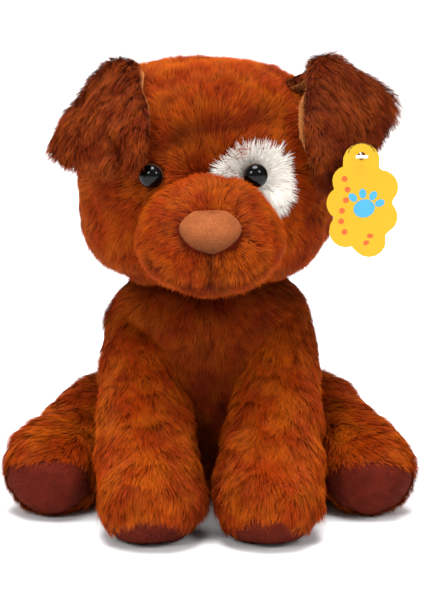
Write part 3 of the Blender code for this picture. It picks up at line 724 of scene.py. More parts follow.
def make_pile_tree():
    """Scatter strands on a skin, comb them along its nap and gather their tips into tufts."""
    tree = bpy.data.node_groups.new("Combed pile", "GeometryNodeTree")
    face = tree.interface
    face.new_socket("Skin", in_out="INPUT", socket_type="NodeSocketGeometry")
    for name, kind in (("Strand", "Object"), ("Density", "Float"), ("Length", "Float"), ("Width", "Float"),
                       ("Tuft size", "Float"), ("Tuft pull", "Float"), ("Wave size", "Float"),
                       ("Wave", "Float"), ("Stray", "Float"), ("Seed", "Int"), ("Finish", "Material")):
        face.new_socket(name, in_out="INPUT", socket_type=f"NodeSocket{kind}")
    face.new_socket("Pile", in_out="OUTPUT", socket_type="NodeSocketGeometry")
    given = add(tree, "NodeGroupInput").outputs

    def named(name, kind="FLOAT"):
        node = add(tree, "GeometryNodeInputNamedAttribute", {"Name": name}, data_type=kind)
        return node.outputs["Attribute"]

    def store(geometry, name, value, kind="FLOAT", domain="POINT"):
        links = {"Geometry": geometry, "Name": name, "Value": value}
        node = add(tree, "GeometryNodeStoreNamedAttribute", links, data_type=kind, domain=domain)
        return node.outputs["Geometry"]

    def calc(kind, first, second=0.0):
        return add(tree, "ShaderNodeMath", {0: first, 1: second}, operation=kind).outputs[0]

    def vector(kind, first, second=(0.0, 0.0, 0.0)):
        node = add(tree, "ShaderNodeVectorMath", {0: first, 1: second}, operation=kind)
        return node.outputs["Value" if kind == "DOT_PRODUCT" else "Vector"]

    def scaled(first, amount):
        node = add(tree, "ShaderNodeVectorMath", {0: first, "Scale": amount}, operation="SCALE")
        return node.outputs["Vector"]

    def flat(first, up):
        """The part of a vector that lies in the skin."""
        return vector("SUBTRACT", first, scaled(up, vector("DOT_PRODUCT", first, up)))

    scatter = add(tree, "GeometryNodeDistributePointsOnFaces", {
        "Mesh": given["Skin"], "Density": calc("MULTIPLY", given["Density"], named("nap_cover")),
        "Seed": given["Seed"]}, distribute_method="RANDOM")
    points = store(scatter.outputs["Points"], "nap_up", scatter.outputs["Normal"], "FLOAT_VECTOR")
    place = add(tree, "GeometryNodeInputPosition").outputs["Position"]
    points = store(points, "nap_root", place, "FLOAT_VECTOR")
    shade = add(tree, "FunctionNodeRandomValue", {"Seed": given["Seed"]}, data_type="FLOAT")
    points = store(points, "strand_shade", shade.outputs[1])
    points = store(points, "nap_number", add(tree, "GeometryNodeInputIndex").outputs["Index"])
    amount = add(tree, "GeometryNodeAttributeDomainSize", {"Geometry": points}, component="POINTCLOUD")
    strand = add(tree, "GeometryNodeObjectInfo", {"Object": given["Strand"]}).outputs["Geometry"]
    copies = add(tree, "GeometryNodeInstanceOnPoints", {"Points": points, "Instance": strand})
    pile = add(tree, "GeometryNodeRealizeInstances", {"Geometry": copies.outputs["Instances"]}).outputs[0]

    tip, side = named("strand_tip"), named("strand_side")
    up, root = named("nap_up", "FLOAT_VECTOR"), named("nap_root", "FLOAT_VECTOR")
    waves = calc("DIVIDE", 1.0, given["Wave size"])
    wander = add(tree, "ShaderNodeTexNoise", {"Vector": root, "Scale": waves, "Detail": 1.5}).outputs["Color"]
    wander = scaled(vector("SUBTRACT", wander, (0.5, 0.5, 0.5)), calc("MULTIPLY", given["Wave"], 4.0))
    chance = add(tree, "ShaderNodeTexWhiteNoise", {"Vector": scaled(root, STRAY_SCATTER)},
                 noise_dimensions="3D")
    stray = scaled(vector("SUBTRACT", chance.outputs["Color"], (0.5, 0.5, 0.5)),
                   calc("MULTIPLY", given["Stray"], 2.0))
    comb = vector("ADD", vector("ADD", named("nap_comb", "FLOAT_VECTOR"), wander), stray)
    lean = vector("NORMALIZE", flat(comb, up))
    tufts = calc("DIVIDE", 1.0, given["Tuft size"])
    cell = add(tree, "ShaderNodeTexVoronoi", {"Vector": root, "Scale": tufts}, voronoi_dimensions="3D",
               feature="F1").outputs["Position"]
    pull = flat(vector("SUBTRACT", cell, root), up)
    odd = add(tree, "ShaderNodeTexWhiteNoise", {"Vector": scaled(root, LENGTH_SCATTER)},
              noise_dimensions="3D")
    length = calc("MULTIPLY", calc("MULTIPLY", given["Length"], named("nap_length")),
                  calc("ADD", calc("MULTIPLY", odd.outputs["Value"], 0.5), 0.72))
    stand = named("nap_stand")
    tip_squared = calc("MULTIPLY", tip, tip)
    rise = calc("MULTIPLY", stand, calc("SUBTRACT", tip, calc("MULTIPLY", tip_squared, 0.38)))
    reach = calc("ADD", calc("MULTIPLY", calc("SUBTRACT", 1.0, stand), tip),
                 calc("MULTIPLY", tip_squared, 0.34))
    curve = vector("ADD", scaled(up, calc("MULTIPLY", rise, length)),
                   scaled(lean, calc("MULTIPLY", reach, length)))
    gather = scaled(pull, calc("MULTIPLY", tip_squared, given["Tuft pull"]))
    curl = add(tree, "ShaderNodeTexNoise", {"Vector": root, "Scale": 1 / CURL_SIZE, "Detail": 1.0})
    swirl = scaled(flat(vector("SUBTRACT", curl.outputs["Color"], (0.5, 0.5, 0.5)), up),
                   calc("MULTIPLY", calc("MULTIPLY", tip_squared, length), given["Wave"]))
    curve = vector("ADD", curve, scaled(swirl, 1.5))
    roll = calc("MULTIPLY", calc("SUBTRACT", chance.outputs["Value"], 0.5), 1.6)
    across = vector("ADD", scaled(vector("CROSS_PRODUCT", up, lean), calc("COSINE", roll)),
                    scaled(up, calc("SINE", roll)))
    taper = calc("MULTIPLY", calc("MULTIPLY", side, given["Width"]), 0.5)
    spot = vector("ADD", vector("ADD", root, curve), vector("ADD", gather, scaled(across, taper)))
    pile = add(tree, "GeometryNodeSetPosition", {"Geometry": pile, "Position": spot}).outputs["Geometry"]

    # Each strand gets its own small cell of the map, root at the bottom and tip at the top.
    edge = calc("CEIL", calc("SQRT", amount.outputs["Point Count"]))
    number = named("nap_number")
    across_map = calc("ADD", calc("MODULO", number, edge), calc("ADD", calc("MULTIPLY", side, 0.3), 0.5))
    up_map = calc("ADD", calc("FLOOR", calc("DIVIDE", number, edge)),
                  calc("ADD", calc("MULTIPLY", tip, 0.7), 0.15))
    cell_place = add(tree, "ShaderNodeCombineXYZ", {"X": calc("DIVIDE", across_map, edge),
                                                    "Y": calc("DIVIDE", up_map, edge)}).outputs[0]
    pile = store(pile, "OFBake", cell_place, "FLOAT2", "CORNER")
    for name in ("nap_*", "strand_side"):
        pile = add(tree, "GeometryNodeRemoveAttribute", {"Geometry": pile, "Name": name},
                   pattern_mode="WILDCARD").outputs[0]
    pile = add(tree, "GeometryNodeSetMaterial", {"Geometry": pile, "Material": given["Finish"]}).outputs[0]
    add(tree, "NodeGroupOutput", {"Pile": pile})
    return tree


PILE = {}


def comb_skin(skin, comb, cover, length, stand, painted_shade=lambda points: 0.0):
    """Write the nap's direction, cover, length, stand and painted shade on a skin, one value a point."""
    points, facing = coordinates(skin), normals(skin)
    way = comb(points)
    way = unit(way - facing * (way * facing).sum(1, keepdims=True))
    layer = skin.data.attributes.new("nap_comb", "FLOAT_VECTOR", "POINT")
    layer.data.foreach_set("vector", way.astype(np.float32).ravel())
    for name, value in (("nap_cover", cover(points)), ("nap_length", length(points)),
                        ("nap_stand", stand(points)), ("strand_painted_shade", painted_shade(points))):
        layer = skin.data.attributes.new(name, "FLOAT", "POINT")
        layer.data.foreach_set("value", np.broadcast_to(value, len(points)).astype(np.float32))


def grow(name, skin, finish, length, width=None, density=1.0, tuft_pull=0.42, wave=0.5, stray=0.4,
         wave_size=0.016, tuft=None, seed=0, keep=None):
    """Grow the pile of a combed skin into a plain mesh. keep picks the points that it covers."""
    sizes = bpy.context.scene.puppy_sizes
    if not PILE:
        PILE["tree"] = make_pile_tree()
        PILE["strand"] = make_blade()
    carrier = bpy.data.objects.new(name, skin.data.copy())
    bpy.context.scene.collection.objects.link(carrier)
    if keep is not None:
        layer = carrier.data.attributes["nap_cover"]
        cover = np.empty(len(carrier.data.vertices), np.float32)
        layer.data.foreach_get("value", cover)
        layer.data.foreach_set("value", cover * keep(coordinates(skin)).astype(np.float32))
    modifier = carrier.modifiers.new("pile", "NODES")
    modifier.node_group = PILE["tree"]
    thin = 1.0
    inputs = {"Strand": PILE["strand"], "Density": sizes.density * density * thin, "Length": length,
              "Width": (width or sizes.strand) / math.sqrt(thin), "Tuft size": tuft or sizes.clump,
              "Tuft pull": tuft_pull, "Wave size": wave_size, "Wave": wave, "Stray": stray,
              "Seed": sizes.seed + seed, "Finish": finish}
    for socket in PILE["tree"].interface.items_tree:
        if socket.item_type == "SOCKET" and socket.name in inputs:
            modifier[socket.identifier] = inputs[socket.name]
    mesh = evaluated(carrier)
    carrier.modifiers.clear()
    carrier.data = mesh
    mesh.name = name
    mesh.shade_smooth()
    return carrier


def strip_nap(skin):
    """Take the combing values off a finished skin."""
    for name in ("nap_comb", "nap_cover", "nap_length", "nap_stand", "leaf_u", "leaf_v"):
        if name in skin.data.attributes:
            skin.data.attributes.remove(skin.data.attributes[name])


def settle(piece, body):
    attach(piece, body)
    return piece


def stitch_up(skin, body, slot, fill, *nodes):
    """Stand a stuffed skin in for its CAD nodes: strip its nap values, attach it, hide the nodes."""
    strip_nap(skin)
    settle(skin, body)
    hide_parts(*nodes)


MATERIALS = {}


def finish_of(name):
    """Each finish is made once."""
    if not MATERIALS:
        tones = bpy.context.scene.puppy_colours
        root, tip = list(tones.plush_root), list(tones.plush_tip)
        MATERIALS["plush"] = pile_material("acrylic plush pile, brown", root, tip, (0.80, 0.50, 0.34))
        MATERIALS["backing"] = backing_material("knitted plush backing, brown", linear("#5E1602"))
        MATERIALS["ear"] = pile_material("short plush pile, dark brown", list(tones.ear_root),
                                         list(tones.ear_tip), (0.62, 0.42, 0.30), 12.0)
        MATERIALS["ear_backing"] = backing_material("knitted plush backing, dark", linear("#3E1004"))
        MATERIALS["patch"] = pile_material("acrylic plush pile, white", list(tones.patch_root),
                                           list(tones.patch_tip), (0.9, 0.88, 0.86))
        MATERIALS["patch_backing"] = backing_material("knitted plush backing, white", linear("#CFC8BC"))
        MATERIALS["lining"] = velour_material("brushed tricot lining, tan", list(tones.lining),
                                              linear("#8A4E24"))
        MATERIALS["sole"] = velour_material("knitted velour, maroon", list(tones.sole), linear("#4A140A"))
        MATERIALS["nose"] = velour_material("knitted velour, rose brown", list(tones.nose),
                                            linear("#A05830"))
    return MATERIALS[name]


def dress(piece, *names):
    piece.data.materials.clear()
    for name in names:
        piece.data.materials.append(finish_of(name))
    return piece


# ---------------------------------------------------------------- operators, one for each piece or group

class PuppyOperator:
    bl_options = {"REGISTER", "UNDO"}

    def execute(self, context):
        self.make(context.scene.puppy_sizes)
        return {"FINISHED"}


def head_comb(points):
    """Nap runs away from the nose, over the brow to the back, and down the cheeks."""
    away = unit(points - np.array([0.0, -112.0, 170.0]))
    cheek = np.clip((192 - points[:, 2]) / 30, 0, 1)[:, None]
    return away * (1 - 0.55 * cheek) + DOWN * (0.25 + 0.9 * cheek)


class PUPPY_OT_head(PuppyOperator, bpy.types.Operator):
    """Make the head's plush skin and pile, and the white patch"""
    bl_idname = "puppy.head"
    bl_label = "Head"

    def make(self, sizes):
        skin = make_head_skin()

        def shown(points):
            clear = (muzzle_value(points, 3.5) > 1) & (points[:, 2] > 124)
            clear &= eye_distance(points, "right") > 5.4
            clear &= ~((np.hypot(points[:, 0], points[:, 1] + 6) < 26) & (points[:, 2] < 135))
            return clear.astype(float)

        def length(points):
            near = np.minimum(eye_distance(points, "left"), eye_distance(points, "right"))
            edge = np.clip((points[:, 2] - 205) / 25, 0, 1) + (points[:, 2] < 160)
            return 0.42 + 0.5 * np.clip((near - 5.5) / 14, 0, 1) + 0.16 * edge

        # Painted shade: darker along the brow crease and towards the bottom of the head, with random darker
        # patches.
        def painted_shade(points):
            mottled = 0.55 * np.clip(ripple(points, 11, 12) + 0.1, 0, 1)
            under = 0.5 * np.clip((150 - points[:, 2]) / 25, 0, 1)
            return np.clip(0.55 * brow(points) + mottled + under, 0, 0.85)

        def stand(points):
            crown = np.clip((points[:, 2] - 205) / 20, 0, 1) * (points[:, 1] < 5)
            return 0.46 + 0.28 * crown

        comb_skin(skin, head_comb, shown, length, stand, painted_shade)
        dress(skin, "backing", "patch_backing")
        centres = np.array([face.center for face in skin.data.polygons]) / MM
        skin.data.polygons.foreach_set("material_index", (patch_value(centres) < 1.1).astype(np.int32))
        regions = {
            "face": lambda p: ((p[:, 1] < -38) & (patch_value(p) > 1)
                               & (patch_value(p + 5.5 * head_comb(p)) > 0.95)),
            "side_right": lambda p: (p[:, 1] >= -38) & (p[:, 0] < HEAD_CENTRE[0]),
            "side_left": lambda p: (p[:, 1] >= -38) & (p[:, 0] >= HEAD_CENTRE[0]),
        }
        for number, (region, keep) in enumerate(regions.items()):
            pile = grow(f"head_pile_{region}", skin, finish_of("plush"), sizes.pile, seed=number, keep=keep)
            settle(pile, "head")

        def round_eye(points):
            return (eye_distance(points, "left") > 5.4) & (patch_value(points) < 1.03) & (shown(points) > 0)

        fluff = skin.copy()
        fluff.data = skin.data.copy()
        for name in ("nap_comb", "nap_cover", "nap_length", "nap_stand", "strand_painted_shade"):
            fluff.data.attributes.remove(fluff.data.attributes[name])
        comb_skin(fluff, lambda p: (p - EYES["left"]) * [1, 0.2, 1] + [2, 0, 2], lambda p: 1.0,
                  lambda p: 0.5 + 0.35 * np.clip((eye_distance(p, "left") - 6) / 8, 0, 1), lambda p: 0.62)
        white = grow("eye_patch_pile", fluff, finish_of("patch"), sizes.pile * 0.95, density=1.9,
                     tuft_pull=0.22, wave=0.35, seed=5, keep=round_eye)
        bpy.data.objects.remove(fluff)
        settle(white, "head")
        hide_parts("eye_patch")
        stitch_up(skin, "head", "brown_plush", 0.8, "head_skin")


class PUPPY_OT_muzzle(PuppyOperator, bpy.types.Operator):
    """Make the stuffed muzzle and its pile"""
    bl_idname = "puppy.muzzle"
    bl_label = "Muzzle"

    def make(self, sizes):
        skin = make_muzzle_skin()

        def comb(points):
            away = points - NOSE_CENTRE
            away[:, 1] *= 0.2
            low = np.clip((150 - points[:, 2]) / 20, 0, 1)[:, None]
            return unit(away) + DOWN * (0.35 + 0.3 * low)

        def shown(points):
            nose = np.hypot((points[:, 0] - NOSE_CENTRE[0]) / 15.0, (points[:, 2] - NOSE_CENTRE[2]) / 9.0)
            return ((head_value(points, 2.0) > 1) & ~((nose < 1) & (points[:, 1] < -90))).astype(float)

        def length(points):
            nose = np.hypot((points[:, 0] - NOSE_CENTRE[0]) / 16, (points[:, 2] - NOSE_CENTRE[2]) / 10)
            return 0.5 + 0.45 * np.clip((nose - 1) / 0.9, 0, 1)

        # The last value is painted shade: darker in the mouth creases and towards the bottom of the muzzle,
        # with random darker patches.
        comb_skin(skin, comb, shown, length, lambda points: 0.52,
                  lambda points: np.clip(0.7 * mouth(points) * (points[:, 2] < NOSE_CENTRE[2] - 5)
                                         + 0.5 * np.clip(ripple(points, 9, 13) + 0.1, 0, 1)
                                         + 0.5 * np.clip((146 - points[:, 2]) / 16, 0, 1), 0, 0.85))
        dress(skin, "backing")
        settle(grow("muzzle_pile", skin, finish_of("plush"), sizes.pile, density=1.1, seed=8), "head")
        stitch_up(skin, "head", "brown_plush", 0.9, "muzzle_skin")


class PUPPY_OT_torso(PuppyOperator, bpy.types.Operator):
    """Make the trunk's plush skin and pile"""
    bl_idname = "puppy.torso"
    bl_label = "Torso"

    def make(self, sizes):
        skin = make_torso_skin()

        def comb(points):
            away = points * [0.012, 0.0, 0.0]
            return DOWN + away

        def shown(points):
            clear = points[:, 2] > 3
            for sign in (-1, 1):
                clear &= limb_distance(points, mirrored(FRONT_LEG, sign)) > -2
                clear &= limb_distance(points, mirrored(HIND_LEG, sign)) > -2
            clear &= limb_distance(points, TAIL) > -1
            clear &= points[:, 2] < 130
            return clear.astype(float)

        # Painted shade between the front legs and under the chin, with random darker patches.
        def painted_shade(points):
            hollow = hill(points, (0, -52, 70), (26, 60, 44)) + hill(points, (0, -40, 122), (70, 40, 12))
            return np.clip(0.55 * hollow + 0.45 * np.clip(ripple(points, 12, 14), 0, 1), 0, 0.85)

        comb_skin(skin, comb, shown, lambda points: 0.95, lambda points: 0.5, painted_shade)
        dress(skin, "backing")
        for number, (part, keep) in enumerate({
                "chest": lambda p: p[:, 1] < 10, "back": lambda p: p[:, 1] >= 10}.items()):
            pile = grow(f"torso_pile_{part}", skin, finish_of("plush"), sizes.pile, seed=20 + number,
                        keep=keep)
            settle(pile, "torso")
        stitch_up(skin, "torso", "brown_plush", 0.7, "torso_skin")


def make_leg(sizes, kind, side, sign, stations, sole, seed):
    """One leg's skin, pile and velour sole."""
    line = mirrored(stations, sign)
    body = f"{kind}_leg_{side}"
    skin = make_limb_skin(f"{body}_plush", line, seed, sole)
    toe, toe_radius = line[-1, :3], line[-1, 3]
    aim = unit(sole[0] * np.array([sign, 1, 1]))
    across = unit(np.cross(aim, [0.0, -0.3, 1.0]))
    upright = np.cross(across, aim)

    def off_axis(points):
        """Millimetres from the sole's middle, scaled so that its seam is at its half width."""
        away = points - toe
        wide = np.hypot(away @ across, (away @ upright) * sole[2] / sole[3])
        return wide + np.where(away @ aim > 4, 0.0, 99.0)

    def comb(points):
        along = unit(line[-1, :3] - line[0, :3])
        ahead = np.clip((points - toe) @ aim / toe_radius + 0.4, 0, 1)[:, None]
        aside = np.array([0.5 * sign if kind == "hind" else 0.0, 0, 0])
        return along * (0.75 - 0.35 * ahead) + DOWN * 0.7 + aside - aim * 0.5 * ahead

    def shown(points):
        clear = off_axis(points) > sole[2] + 0.5
        clear &= torso_value(points, 5.0) > 1
        clear &= points[:, 2] > 3.0
        return clear.astype(float)

    def length(points):
        return 0.6 + 0.42 * np.clip((off_axis(points) - sole[2]) / 9, 0, 1)

    # Painted shade on the insides of the front legs and near the floor, with random darker patches.
    def painted_shade(points):
        inner = np.clip(1 - np.abs(points[:, 0]) / 16, 0, 1) if kind == "front" else 0.0
        low = 0.35 * np.clip((12 - points[:, 2]) / 10, 0, 1)
        return np.clip(0.8 * inner + low + 0.5 * np.clip(ripple(points, 11, seed + 7), 0, 1), 0, 0.85)

    comb_skin(skin, comb, shown, length, lambda points: 0.46, painted_shade)
    dress(skin, "backing")
    pile = grow(f"{body}_pile", skin, finish_of("plush"), sizes.pile, seed=seed)
    settle(pile, body)
    make_sole(f"{kind}_sole_{side}", skin, body, f"{kind}_paw_pad_{side}", off_axis, sole[2], sizes, seed)
    stitch_up(skin, body, "brown_plush", 0.75, f"{body}_skin")


def make_sole(name, skin, body, node, off_axis, radius, sizes, seed):
    """Velour panel let into the paw: the skin's own surface inside the seam, gently crowned."""
    bm = bmesh.new()
    bm.from_mesh(skin.data)
    points = coordinates(skin)
    inside = off_axis(points) < radius + 0.8
    bm.verts.ensure_lookup_table()
    bmesh.ops.delete(bm, geom=[v for v, keep in zip(bm.verts, inside) if not keep], context="VERTS")
    mesh = bpy.data.meshes.new(name)
    bm.to_mesh(mesh)
    bm.free()
    panel = bpy.data.objects.new(name, mesh)
    bpy.context.scene.collection.objects.link(panel)
    for attribute in [a.name for a in mesh.attributes if a.name.startswith("nap_")]:
        mesh.attributes.remove(mesh.attributes[attribute])
    points, facing = coordinates(panel), normals(panel)
    crown = 0.5 + 1.2 * np.clip(1 - off_axis(points) / radius, 0, 1) ** 0.6
    reshape(panel, np.maximum(points + facing * crown[:, None], [-999, -999, 0.35]))
    shell = panel.modifiers.new("cloth", "SOLIDIFY")
    shell.thickness = 0.9 * MM
    shell.offset = -1
    panel.data = evaluated(panel)
    panel.modifiers.clear()
    panel.data.shade_smooth()
    dress(panel, "sole")
    comb_skin(panel, lambda p: np.tile([0.3, -0.2, -1.0], (len(p), 1)), lambda p: 1.0, lambda p: 1.0,
              lambda p: 0.7)
    nap = grow(f"{name}_nap", panel, finish_of("sole"), sizes.nap, 0.0003, density=0.85, tuft_pull=0.1,
               wave=0.4, stray=0.8, wave_size=0.009, tuft=0.002, seed=seed + 2)
    settle(nap, body)
    strip_nap(panel)
    settle(panel, body)
    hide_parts(node)
    return panel


class PUPPY_OT_front_legs(PuppyOperator, bpy.types.Operator):
    """Make both front legs with their piles and soles"""
    bl_idname = "puppy.front_legs"
    bl_label = "Front legs"

    def make(self, sizes):
        for side, sign in (("left", 1), ("right", -1)):
            make_leg(sizes, "front", side, sign, FRONT_LEG, FRONT_SOLE, 31 + sign)


class PUPPY_OT_hind_legs(PuppyOperator, bpy.types.Operator):
    """Make both hind legs with their piles and soles"""
    bl_idname = "puppy.hind_legs"
    bl_label = "Hind legs"

    def make(self, sizes):
        for side, sign in (("left", 1), ("right", -1)):
            make_leg(sizes, "hind", side, sign, HIND_LEG, HIND_SOLE, 41 + sign)


class PUPPY_OT_tail(PuppyOperator, bpy.types.Operator):
    """Make the tail and its pile"""
    bl_idname = "puppy.tail"
    bl_label = "Tail"

    def make(self, sizes):
        skin = make_limb_skin("tail_plush", TAIL, 51)
        comb_skin(skin, lambda p: np.tile([0.1, 1.0, 0.5], (len(p), 1)),
                  lambda p: (torso_value(p, 3.0) > 1).astype(float), lambda p: 0.9, lambda p: 0.55)
        dress(skin, "backing")
        settle(grow("tail_pile", skin, finish_of("plush"), sizes.pile, seed=51), "tail")
        stitch_up(skin, "tail", "brown_plush", 0.7, "tail_skin")


class PUPPY_OT_ears(PuppyOperator, bpy.types.Operator):
    """Make both folded ears: plush outer leaf, pile and tan lining"""
    bl_idname = "puppy.ears"
    bl_label = "Ears"

    def make(self, sizes):
        for number, side in enumerate(("left", "right")):
            rows = evened(EAR_ROWS[side])
            body = f"ear_{side}"
            leaf = make_leaf(f"{body}_plush", rows, 1.0, 2.6, 2.0, pinch=6.0 if side == "right" else 0.0)
            hang = unit(rows[-1].mean(0) - rows[2].mean(0)) + 0.55 * unit(rows[3][-1] - rows[3][0])
            inner = values(leaf, "leaf_u")
            lower = values(leaf, "leaf_v")
            corner = np.exp(-((inner - 1) / 0.25) ** 2 - ((lower - 0.42) / 0.16) ** 2)
            free_edge = np.clip(1 - np.minimum(1 - inner, 1 - lower) / 0.12, 0, 1)
            fold = np.exp(-((lower - 0.36) / 0.09) ** 2)
            long = 0.55 + 0.45 * np.clip(inner / 0.18, 0, 1) + 0.3 * (free_edge + fold)
            long += (0.75 if side == "left" else 0.1) * corner
            # Painted shade: the whole left ear a little darker, random darker patches, and a dark line along
            # the right ear's crease.
            shadow = 0.22 * (side == "left") + 0.3 * np.clip(ripple(coordinates(leaf), 13, 15), 0, 1)
            split = np.exp(-((inner - 0.5) / 0.05) ** 2) * np.clip((lower - 0.7) / 0.15, 0, 1)
            split *= side == "right"
            comb_skin(leaf, lambda p: np.tile(hang, (len(p), 1)), lambda p: 1.0, lambda p: long,
                      lambda p: 0.5, lambda p: np.clip(0.75 * split + shadow, 0, 1))
            dress(leaf, "ear_backing")
            settle(grow(f"{body}_pile", leaf, finish_of("ear"), sizes.ear_pile, seed=60 + number,
                        density=1.0), body)
            stitch_up(leaf, body, "dark_plush", 0.3, body)
            lining = make_leaf(f"ear_lining_{side}_cloth", rows, 3.6, 0.2, 1.2, LINING_ACROSS,
                               LINING_ALONG)
            points = coordinates(lining)
            rim = np.clip(1 - values(lining, "leaf_u") / 0.2, 0, 1)
            height = values(lining, "leaf_v")
            shown = (0.30, 0.52) if side == "right" else (0.50, 0.88)
            rim = rim * np.clip((height - shown[0]) / 0.1, 0, 1) * np.clip((shown[1] - height) / 0.1, 0, 1)
            reshape(lining, points + np.outer(rim * 3.6, unit(rows[3][0] - rows[3][-1])))
            comb_skin(lining, lambda p: np.tile(hang, (len(p), 1)), lambda p: 1.0, lambda p: 1.0,
                      lambda p: 0.6)
            settle(grow(f"ear_lining_{side}_nap", lining, finish_of("lining"), sizes.nap * 1.6, 0.0004,
                        density=0.45, tuft_pull=0.2, seed=64 + number), body)
            strip_nap(lining)
            dress(lining, "lining")
            settle(lining, body)
            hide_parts(f"ear_lining_{side}")


class PUPPY_OT_nose(PuppyOperator, bpy.types.Operator):
    """Make the stuffed velour nose"""
    bl_idname = "puppy.nose"
    bl_label = "Nose"

    def make(self, sizes):
        low, high = box_mm("nose")
        half = np.array([(high - low)[0] / 2 - 0.8, 15.0, 10.8])
        centre = np.array([NOSE_CENTRE[0], high[1] - 1.5, NOSE_CENTRE[2]])
        around = turns(96)
        rows = [np.column_stack([np.cos(around) * math.cos(angle), np.full(96, math.sin(angle)),
                                 np.sin(around) * math.cos(angle)])
                for angle in np.linspace(-math.pi / 2, math.pi / 2, 60)]
        skin = tube("nose_velour", rows)
        ball = coordinates(skin)
        narrow = 1.0 - 0.26 * np.clip(0.35 - ball[:, 2], 0, 2) ** 1.4
        drop = 0.4 * np.abs(ball[:, 0]) ** 2.2 * np.clip(ball[:, 2] + 0.2, 0, 1)
        blunt = np.minimum(ball[:, 2] * 1.12, 0.86 + 0.14 * ball[:, 2])
        ball[:, 2] = np.where(ball[:, 2] > 0, blunt, ball[:, 2])
        points = centre + ball * half
        points[:, 0] = centre[0] + half[0] * ball[:, 0] * narrow
        points[:, 2] -= drop
        points[:, 1] += 3.0 * np.clip(-ball[:, 2], 0, 1) ** 1.5 * (ball[:, 1] < 0)
        reshape(skin, points)
        # The last value is painted shade: the velour darker towards the bottom of the nose.
        comb_skin(skin, lambda p: np.tile([0.2, 0.0, -1.0], (len(p), 1)),
                  lambda p: (p[:, 1] < centre[1]) * 1.0, lambda p: 1.0, lambda p: 0.6,
                  lambda p: np.clip((centre[2] + 4 - p[:, 2]) / 13, 0, 0.9))
        dress(skin, "nose")
        settle(grow("nose_nap", skin, finish_of("nose"), sizes.nap * 0.8, 0.0002, density=2.6, tuft_pull=0.1,
                    stray=0.9, wave=0.9, wave_size=0.006, tuft=0.002, seed=70), "head")
        stitch_up(skin, "head", "nose_velour", 0.8, "nose")


class PUPPY_OT_eyes(PuppyOperator, bpy.types.Operator):
    """Make both glossy safety eyes"""
    bl_idname = "puppy.eyes"
    bl_label = "Eyes"

    def make(self, sizes):
        # Polished acrylic gives small sharp highlights on black; its thinner edge lets some brown through.
        material, tree, shader = new_material("moulded acrylic eye, black with a brown rim", Roughness=0.06,
                                              Specular_IOR_Level=0.2)
        depth = add(tree, "ShaderNodeAttribute", attribute_name="eye_depth").outputs["Fac"]
        rim = ramp(tree, depth, [(0.0, linear("#1A0D07")), (0.12, linear("#4A382E")),
                                 (0.30, linear("#2E1D15")), (0.40, linear("#050404")),
                                 (1.0, linear("#040303"))])
        tree.links.new(rim.outputs["Color"], shader.inputs["Base Color"])
        around = turns(64)
        for side, sign in (("left", 1), ("right", -1)):
            low, high = box_mm(f"eye_{side}")
            centre = (low + high) / 2
            facing = unit(np.array([0.16 * sign, -1.0, 0.02]))
            across = unit(np.cross(facing, [0, 0, 1.0]))
            upright = np.cross(across, facing)
            base = np.array([centre[0], low[1] + EYE_RING, centre[2]])
            rows = []
            for angle in np.linspace(0, math.pi, 41):
                radius = EYE_RADIUS * math.sin(angle) ** 0.92 if 0 < angle < math.pi else 0.0
                ahead = (EYE_RISE if angle < math.pi / 2 else EYE_SINK) * math.cos(angle)
                rows.append(base + facing * ahead + radius * (np.outer(np.cos(around), across)
                                                              + np.outer(np.sin(around), upright)))
            eye = tube(f"eye_dome_{side}", rows)
            height = np.clip(((coordinates(eye) - base) @ facing) / EYE_RISE, 0, 1)
            layer = eye.data.attributes.new("eye_depth", "FLOAT", "POINT")
            layer.data.foreach_set("value", height.astype(np.float32))
            eye.data.materials.append(material)
            settle(eye, "head")
            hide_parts(f"eye_{side}")


def disc(name, centre, half_width, half_height, turn, front, thickness):
    """Thin printed spot on the card, turned by an angle about the card's face."""
    around = turns(40)
    flat_x = half_width * np.cos(around)
    flat_z = half_height * np.sin(around)
    x = centre[0] + flat_x * math.cos(turn) - flat_z * math.sin(turn)
    z = centre[1] + flat_x * math.sin(turn) + flat_z * math.cos(turn)
    outer = np.column_stack([x, np.full(40, front), z])
    inner = outer + [0, thickness, 0]
    faces = [tuple(range(40)), tuple(range(79, 39, -1))]
    faces += [(i, 40 + i, 40 + (i + 1) % 40, (i + 1) % 40) for i in range(40)]
    return outward(new_piece(name, np.vstack([outer, inner]), faces))


def joined(name, pieces):
    """One piece from several meshes."""
    bm = bmesh.new()
    for piece in pieces:
        bm.from_mesh(piece.data)
        bpy.data.objects.remove(piece)
    mesh = bpy.data.meshes.new(name)
    bm.to_mesh(mesh)
    bm.free()
    mesh.shade_flat()
    result = bpy.data.objects.new(name, mesh)
    bpy.context.scene.collection.objects.link(result)
    return result


